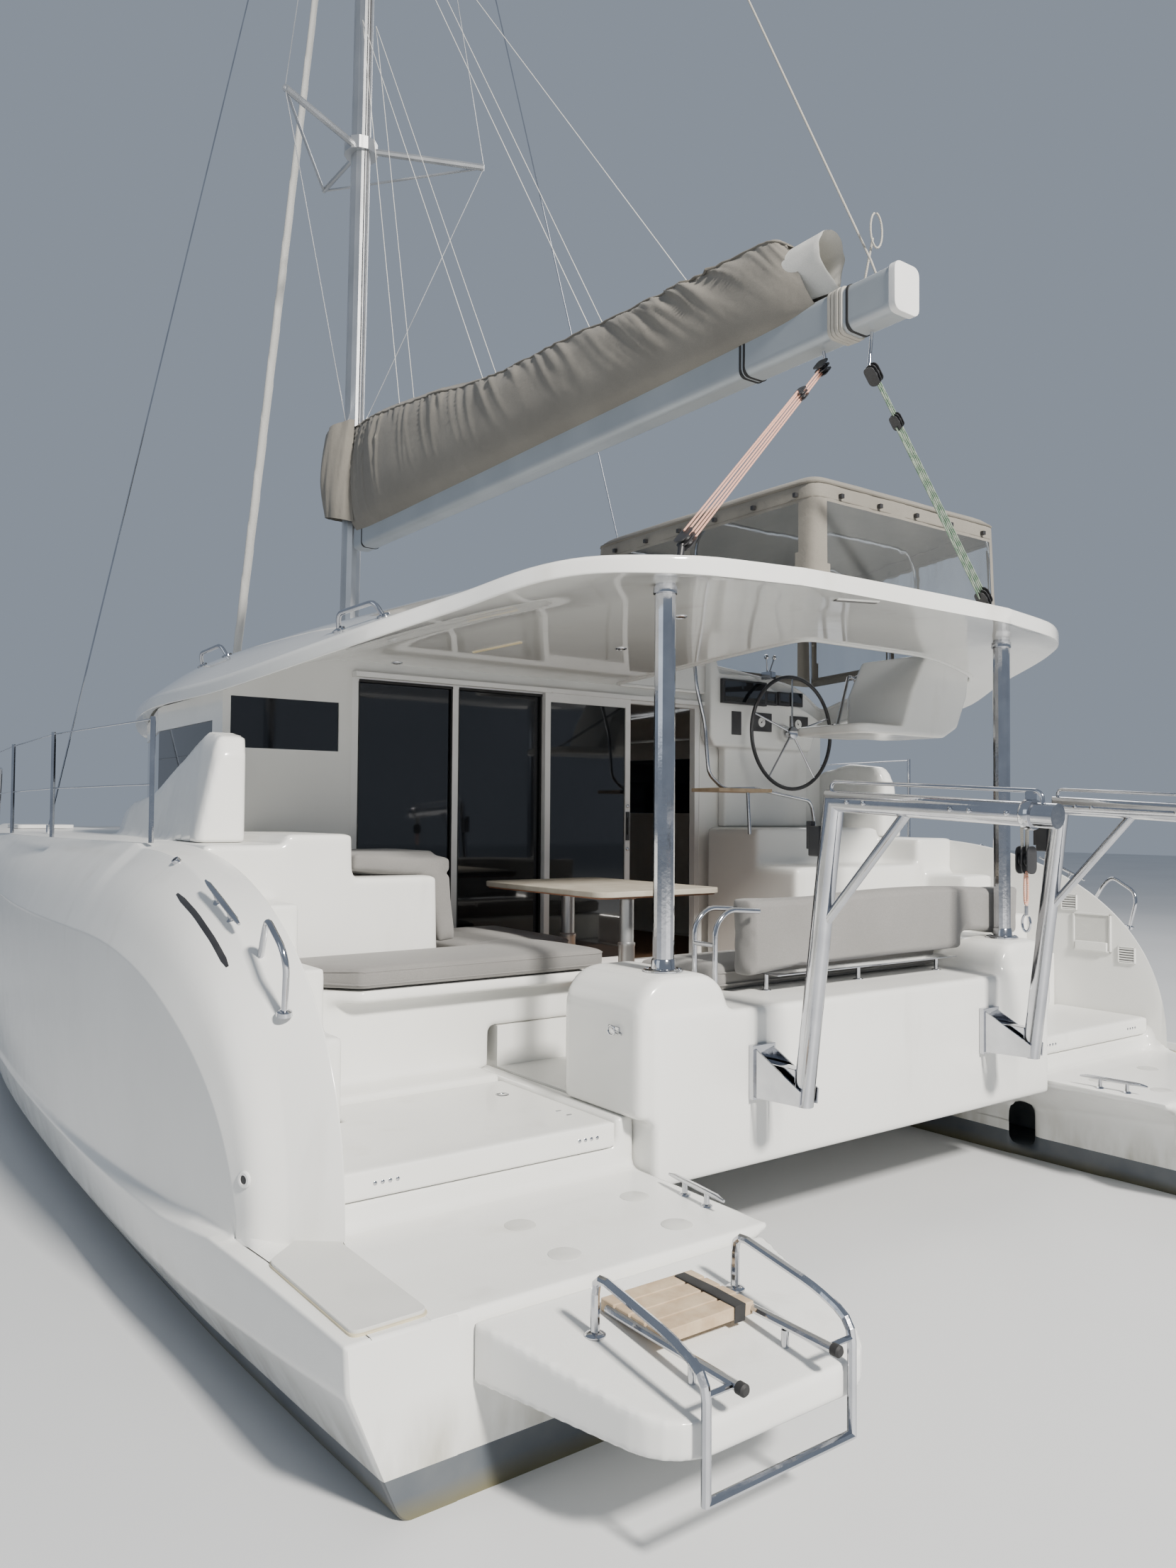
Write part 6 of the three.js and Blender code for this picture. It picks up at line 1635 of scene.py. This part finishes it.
# Falls: shift across at the lower and the upper block, distance of the upper block
FALLS = ((-0.03, -0.02, 0.05), (-0.015, -0.008, 0.05), (0.0, 0.006, 0.05), (0.018, 0.018, 0.32),
         (0.034, 0.026, 0.32))
for word, high, low, rope in SHEETS:
    high, low = Vector(high), Vector(low)
    along = (high - low).normalized()
    across = along.cross(Y_AXIS).normalized()
    piece(f"sheet_blocks_high_{word}", BLACK, (sheave_block, high - along * 0.02, 0.062, along),
          (sheave_block, high - along * 0.30, 0.05, along), body="boom")
    piece(f"sheet_blocks_low_{word}", BLACK, (sheave_block, low + along * 0.06, 0.066, along),
          (block, low + Vector((-0.05, -0.035, -0.075)), low + Vector((0.05, 0.035, -0.055)), 0.006),
          (bar, [low - Z_AXIS * 0.06, low + along * 0.02], 0.016, 12))
    ropes = []
    for a, b, drop in FALLS:
        start, stop = low + along * 0.08 + across * a, high - along * drop + across * b
        ropes.append((bar, [start.lerp(stop, j / 6) for j in range(7)], 0.0048, 8))
    falls = piece(f"sheet_falls_{word}", rope, *ropes, body=None)
    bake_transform(falls)
    piece(f"sheet_shackle_{word}", STEEL,
          (bar, [(high.x, high.y, BOOM_Z - 0.13), high + along * 0.03], 0.009, 10), body="boom")

# Bimini: one continuous sheet with clear windows sewn in
BIMINI_X, BIMINI_Y = (0.19, 1.96), (-4.01, -1.90)
BIMINI_FLARE, BIMINI_BEND = 0.5, 0.09
BIMINI_FOOT, BIMINI_EAVE, BIMINI_TOP = 3.10, 3.91, 4.075
BIMINI_MIDDLE = Vector((1.2, -2.95))
WALL_LEAN, CROWN_REACH = 0.03, 0.83
ROUND_COUNT, WALL_ROWS, CROWN_ROWS = 336, 34, 14


def flared(x, y, x0, x1, y0, y1):
    return x + (x - x0) / (x1 - x0) * (y - y0) / (y1 - y0) * BIMINI_FLARE


def bimini_outline(inward, count):
    """Evenly spaced points round the plan, starting in the middle of the port side and going aft."""
    (x0, x1), (y0, y1) = ((low + inward, high - inward) for low, high in (BIMINI_X, BIMINI_Y))
    plan = corners([(x0, y1), (x0, y0), (x1, y0), (x1, y1)], BIMINI_BEND, 6)
    plan = [(flared(x, y, x0, x1, y0, y1), y) for x, y in plan + plan[:1]]
    spans = [math.dist(a, c) for a, c in zip(plan, plan[1:])]
    total, points, k, passed = sum(spans), [], 0, 0.0
    for i in range(count):
        at = total * i / count
        while passed + spans[k] < at and k < len(spans) - 1:
            passed += spans[k]
            k += 1
        points.append(Vector(plan[k]).lerp(Vector(plan[k + 1]), (at - passed) / spans[k]))
    return points


def bimini_levels():
    """Height, distance inward and whether it is the wall, from the foot to the crown."""
    for r in range(WALL_ROWS + 1):
        t = r / WALL_ROWS
        yield BIMINI_FOOT + (BIMINI_EAVE - BIMINI_FOOT) * t, WALL_LEAN * t, True
    for r in range(1, CROWN_ROWS + 1):
        t = r / CROWN_ROWS
        height = BIMINI_EAVE + (BIMINI_TOP - BIMINI_EAVE) * math.sin(math.pi / 2 * t) ** 0.8
        yield height, WALL_LEAN + CROWN_REACH * t ** 1.6, False


# Clear windows: the walls that have them, where they start and end along the wall
WINDOWS = ((("port", "starboard"), -3.86, -2.95), (("port", "starboard"), -2.85, -2.00),
           (("aft",), 0.32, 1.87), (("front",), 0.32, 2.30))
WINDOW_FOOT, WINDOW_TOP = 3.16, 3.82


def is_clear(face):
    """Whether a face of the bimini lies in one of its clear windows."""
    centre, normal = face.calc_center_median(), face.normal
    if abs(normal.z) > 0.6 or not WINDOW_FOOT < centre.z < WINDOW_TOP:
        return False
    walls = {"port": -normal.x, "starboard": normal.x * 1.05, "aft": -normal.y, "front": normal.y}
    wall = max(walls, key=walls.get)
    along = centre.y if wall in ("port", "starboard") else centre.x
    return any(wall in names and low < along < high for names, low, high in WINDOWS)


def bimini_sheet():
    bm = bmesh.new()
    rings = []
    for z, inward, wall in bimini_levels():
        ring = []
        for k, p in enumerate(bimini_outline(inward, ROUND_COUNT)):
            wave = rough(k * 0.11, z * 1.4, 4.0) * 0.007 + rough(k * 0.4, z * 2.2, 14.0) * 0.0025
            sag = 0.0 if wall else 0.006 * rough(p.x * 2.0, p.y * 2.0, 6.0)
            out = (p - BIMINI_MIDDLE).normalized() * (wave if wall else wave * 0.5)
            ring.append(bm.verts.new((*(p + out), z + sag)))
        rings.append(ring)
    skinned(bm, rings, ends=False)
    middle = bm.verts.new(sum((v.co for v in rings[-1]), Vector()) / ROUND_COUNT)
    for k in range(ROUND_COUNT):
        bm.faces.new((rings[-1][k], rings[-1][(k + 1) % ROUND_COUNT], middle))
    bmesh.ops.recalc_face_normals(bm, faces=bm.faces)
    for face in bm.faces:
        face.material_index = int(is_clear(face))
    mesh = mesh_of("bimini_sheet", bm)
    mesh.materials.append(CANVAS)
    mesh.materials.append(VINYL)
    mesh.shade_smooth()
    return linked("bimini_sheet", mesh)


canopy = bimini_sheet()
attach(canopy, "root")
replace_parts(canopy, "bimini_canopy")


def bimini_hem(height, radius, inward):
    line = [(*p, height) for p in bimini_outline(inward, 168)]
    return bar, line + line[:1], radius, 8


def fastener(p):
    x, y = p + (p - BIMINI_MIDDLE).normalized() * 0.006
    return block, (x - 0.012, y - 0.012, 3.845), (x + 0.012, y + 0.012, 3.87), 0.003


def bimini_hoop(y):
    skew = (y - BIMINI_Y[0]) / (BIMINI_Y[1] - BIMINI_Y[0]) * BIMINI_FLARE
    line = ((0.25, 3.12), (0.27, 3.80), (0.45, 3.93), (1.75 + skew, 3.93), (1.88 + skew, 3.80),
            (1.9 + skew, 3.12))
    return bar, rounded([(x, y, z) for x, z in line], 0.15, 8), RAIL_RADIUS, 12


piece("bimini_hems", BINDING, bimini_hem(BIMINI_EAVE + 0.012, 0.008, WALL_LEAN),
      bimini_hem(3.835, 0.004, 0.028), bimini_hem(3.145, 0.005, 0.004))
piece("bimini_fasteners", BLACK, *map(fastener, bimini_outline(0.018, 24)))
piece("bimini_frame", STEEL, *map(bimini_hoop, (-3.95, -2.95, -1.97)))

# Furled jib: cloth wound round its stay, the wound edge running up as a helix
STAY_FOOT, STAY_HEAD = Vector((0.0, 5.56, 2.15)), Vector((0.0, 1.52, 14.8))
JIB_STEPS, JIB_AROUND, JIB_PITCH = 760, 20, 0.62
jib_low, jib_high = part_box("furled_jib")
JIB_RADIUS = (jib_high.x - jib_low.x) / 2
STAY = STAY_HEAD - STAY_FOOT
STAY_WAY = STAY.normalized()
STAY_SIDE = STAY_WAY.cross(X_AXIS).normalized()


def jib_ring(t):
    """The wound cloth at a share of the stay's length: thin at the ends, with an overlap that turns."""
    along = STAY.length * t
    fat = JIB_RADIUS * (0.80 + 0.16 * math.sin(math.pi * min(1, t * 1.5 + 0.08))) * (1 - 0.35 * t)
    ring = []
    for a in circle(JIB_AROUND):
        lap = 1.0 + 0.13 * ((a / (2 * math.pi) + along / JIB_PITCH) % 1) + 0.04 * rough(a, along * 2.0, 3)
        out = (X_AXIS * math.cos(a) + STAY_SIDE * math.sin(a)) * fat * min(lap, 1.12)
        ring.append(STAY_FOOT + STAY * t + out)
    return ring


jib_rings = [jib_ring(0.004 + 0.99 * i / JIB_STEPS) for i in range(JIB_STEPS + 1)]
jib = loft("jib_roll", jib_rings, SAILCLOTH, angle=50)
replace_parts(jib, "furled_jib")
DRUM = ((0, 0), (0.075, 0), (0.08, 0.012), (0.045, 0.03), (0.045, 0.075), (0.08, 0.09), (0.075, 0.10),
        (0, 0.10))
piece("jib_drum", BLACK, (bar, [STAY_FOOT - STAY_WAY * 0.02, STAY_FOOT + STAY_WAY * 0.16], 0.028, 12),
      (turned, DRUM, STAY_FOOT + STAY_WAY * 0.03, STAY_WAY, 28))

# Trampolines: sagging sheets of net with webbing and lacing along their edges
NET_SHARES = (1.0, 0.985, 0.94, 0.86, 0.76, 0.64, 0.5, 0.36, 0.22, 0.1)
NET_SAG = 0.05


def net_edge(node_name):
    """The net's height, its middle and close points round its edge, read from its solid."""
    places = [v.co for v in NODES[node_name].data.vertices]
    top = max(p.z for p in places)
    points = {(round(p.x, 3), round(p.y, 3)) for p in places if p.z > top - 0.002}
    centre = sum((Vector(p) for p in points), Vector((0, 0))) / len(points)
    outline = sorted((Vector(p) for p in points), key=lambda p: math.atan2(p.y - centre.y, p.x - centre.x))
    edge = []
    for a, b in zip(outline, outline[1:] + outline[:1]):
        steps = max(2, int((b - a).length / 0.08))
        edge += [a + (b - a) * (k / steps) for k in range(steps)]
    return top, centre, edge


for word, _ in SIDES:
    top, centre, edge = net_edge("trampoline_" + word)
    bm = bmesh.new()
    rings = []
    for share in NET_SHARES:
        plan = [centre + (p - centre) * share * 0.985 for p in edge]
        sag = NET_SAG * (1 - share ** 2) + 0.004
        rings.append([bm.verts.new((*q, top - sag - 0.004 * rough(q.x * 3, q.y * 3, 1))) for q in plan])
    skinned(bm, rings, ends=False)
    bm.faces.new(rings[-1])
    net = from_bmesh("net_" + word, bm, NET, angle=60)
    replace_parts(net, "trampoline_" + word)
    low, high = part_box("trampoline_" + word)
    border = [(*(centre + (p - centre) * 0.98), top) for p in edge]
    lacing = []
    for p in edge[::2]:
        inner, outer = (centre + (p - centre) * share for share in (0.965, 1.012))
        line = [(*inner, top + 0.002), (*((inner + outer) / 2), top + 0.012), (*outer, top)]
        lacing.append((bar, line, 0.004, 6))
    piece("net_edge_" + word, RUBBER, (bar, border + border[:1], 0.010, 8, 0.5), *lacing)

# Finishes of the solids that stay
KEPT = (
    (WHITE, "bridge_deck", "saloon_walls", "galley_unit", "bow_hatch_port", "bow_hatch_starboard"),
    (ANTIFOUL, "rudder_port", "rudder_starboard"),
    (STEEL, "pole_port", "pole_starboard", "shroud_port", "shroud_starboard", "guard_rail_port",
     "guard_rail_starboard", "davit_port", "davit_starboard", "ladder_hoops", "swim_ladder",
     "backrest_frame"),
    (ALLOY, "saildrive_port", "saildrive_starboard", "mast", "spreaders", "bow_beam"),
    (COATED, "door_frame", "door_leaf"),
    (SPAR, "boom"),
    (BRONZE, "propeller_port", "propeller_starboard"),
    (ENGINE, "engine_port", "engine_starboard"),
    (GLASS, "window_front", "window_port", "window_starboard", "window_aft_port", "door_pane_1",
     "door_pane_2", "door_leaf_glass"),
    (SEAT_CLOTH, "cushion_port_bench", "cushion_port_back", "cushion_aft_seat", "cushion_aft_back"),
    (CANVAS, "bimini_canopy", "sail_cover"),
    (TABLE_TOP, "table"),
    (BLACK, "helm_wheel"),
    (SAILCLOTH, "furled_jib"),
    (NET, "trampoline_port", "trampoline_starboard"),
)
for material, *names in KEPT:
    for name in names:
        materials = NODES[name].data.materials
        materials.clear()
        materials.append(material)

# Studio
FLOOR_HALF = 60
SKY, SKY_POWER = (0.72, 0.83, 1.0, 1), 0.36
# Name, place, aim, size, power, colour
LIGHTS = (
    ("key", (-1.5, -22.0, 15.0), (-0.5, -3.0, 1.5), 2.2, 11800.0, (1.0, 0.955, 0.885)),
    ("fill", (-15.0, -3.0, 7.0), (-1.0, -2.0, 1.5), 8.0, 200.0, (0.86, 0.93, 1.0)),
    ("rim", (12.0, 6.0, 12.0), (0.0, 0.0, 2.0), 8.0, 900.0, (1.0, 0.98, 0.95)),
)


def studio():
    bm = bmesh.new()
    bmesh.ops.create_grid(bm, x_segments=1, y_segments=1, size=FLOOR_HALF)
    floor = linked("floor", mesh_of("floor", bm))
    paint = surface("floor_paint", (0.62, 0.63, 0.64), (0.58, 0.59, 0.6), 0.55, 0.0, 0.4, 0.1)
    floor.data.materials.append(paint)
    world = bpy.data.worlds.new("studio")
    world.use_nodes = True
    background = world.node_tree.nodes["Background"]
    background.inputs["Color"].default_value = SKY
    background.inputs["Strength"].default_value = SKY_POWER
    bpy.context.scene.world = world
    for name, at, aim, size, power, colour in LIGHTS:
        data = bpy.data.lights.new(name, "AREA")
        data.size, data.energy, data.color = size, power, colour
        turn = (Vector(aim) - Vector(at)).to_track_quat("-Z", "Y").to_matrix().to_4x4()
        linked(name, data).matrix_world = Matrix.Translation(at) @ turn


studio()
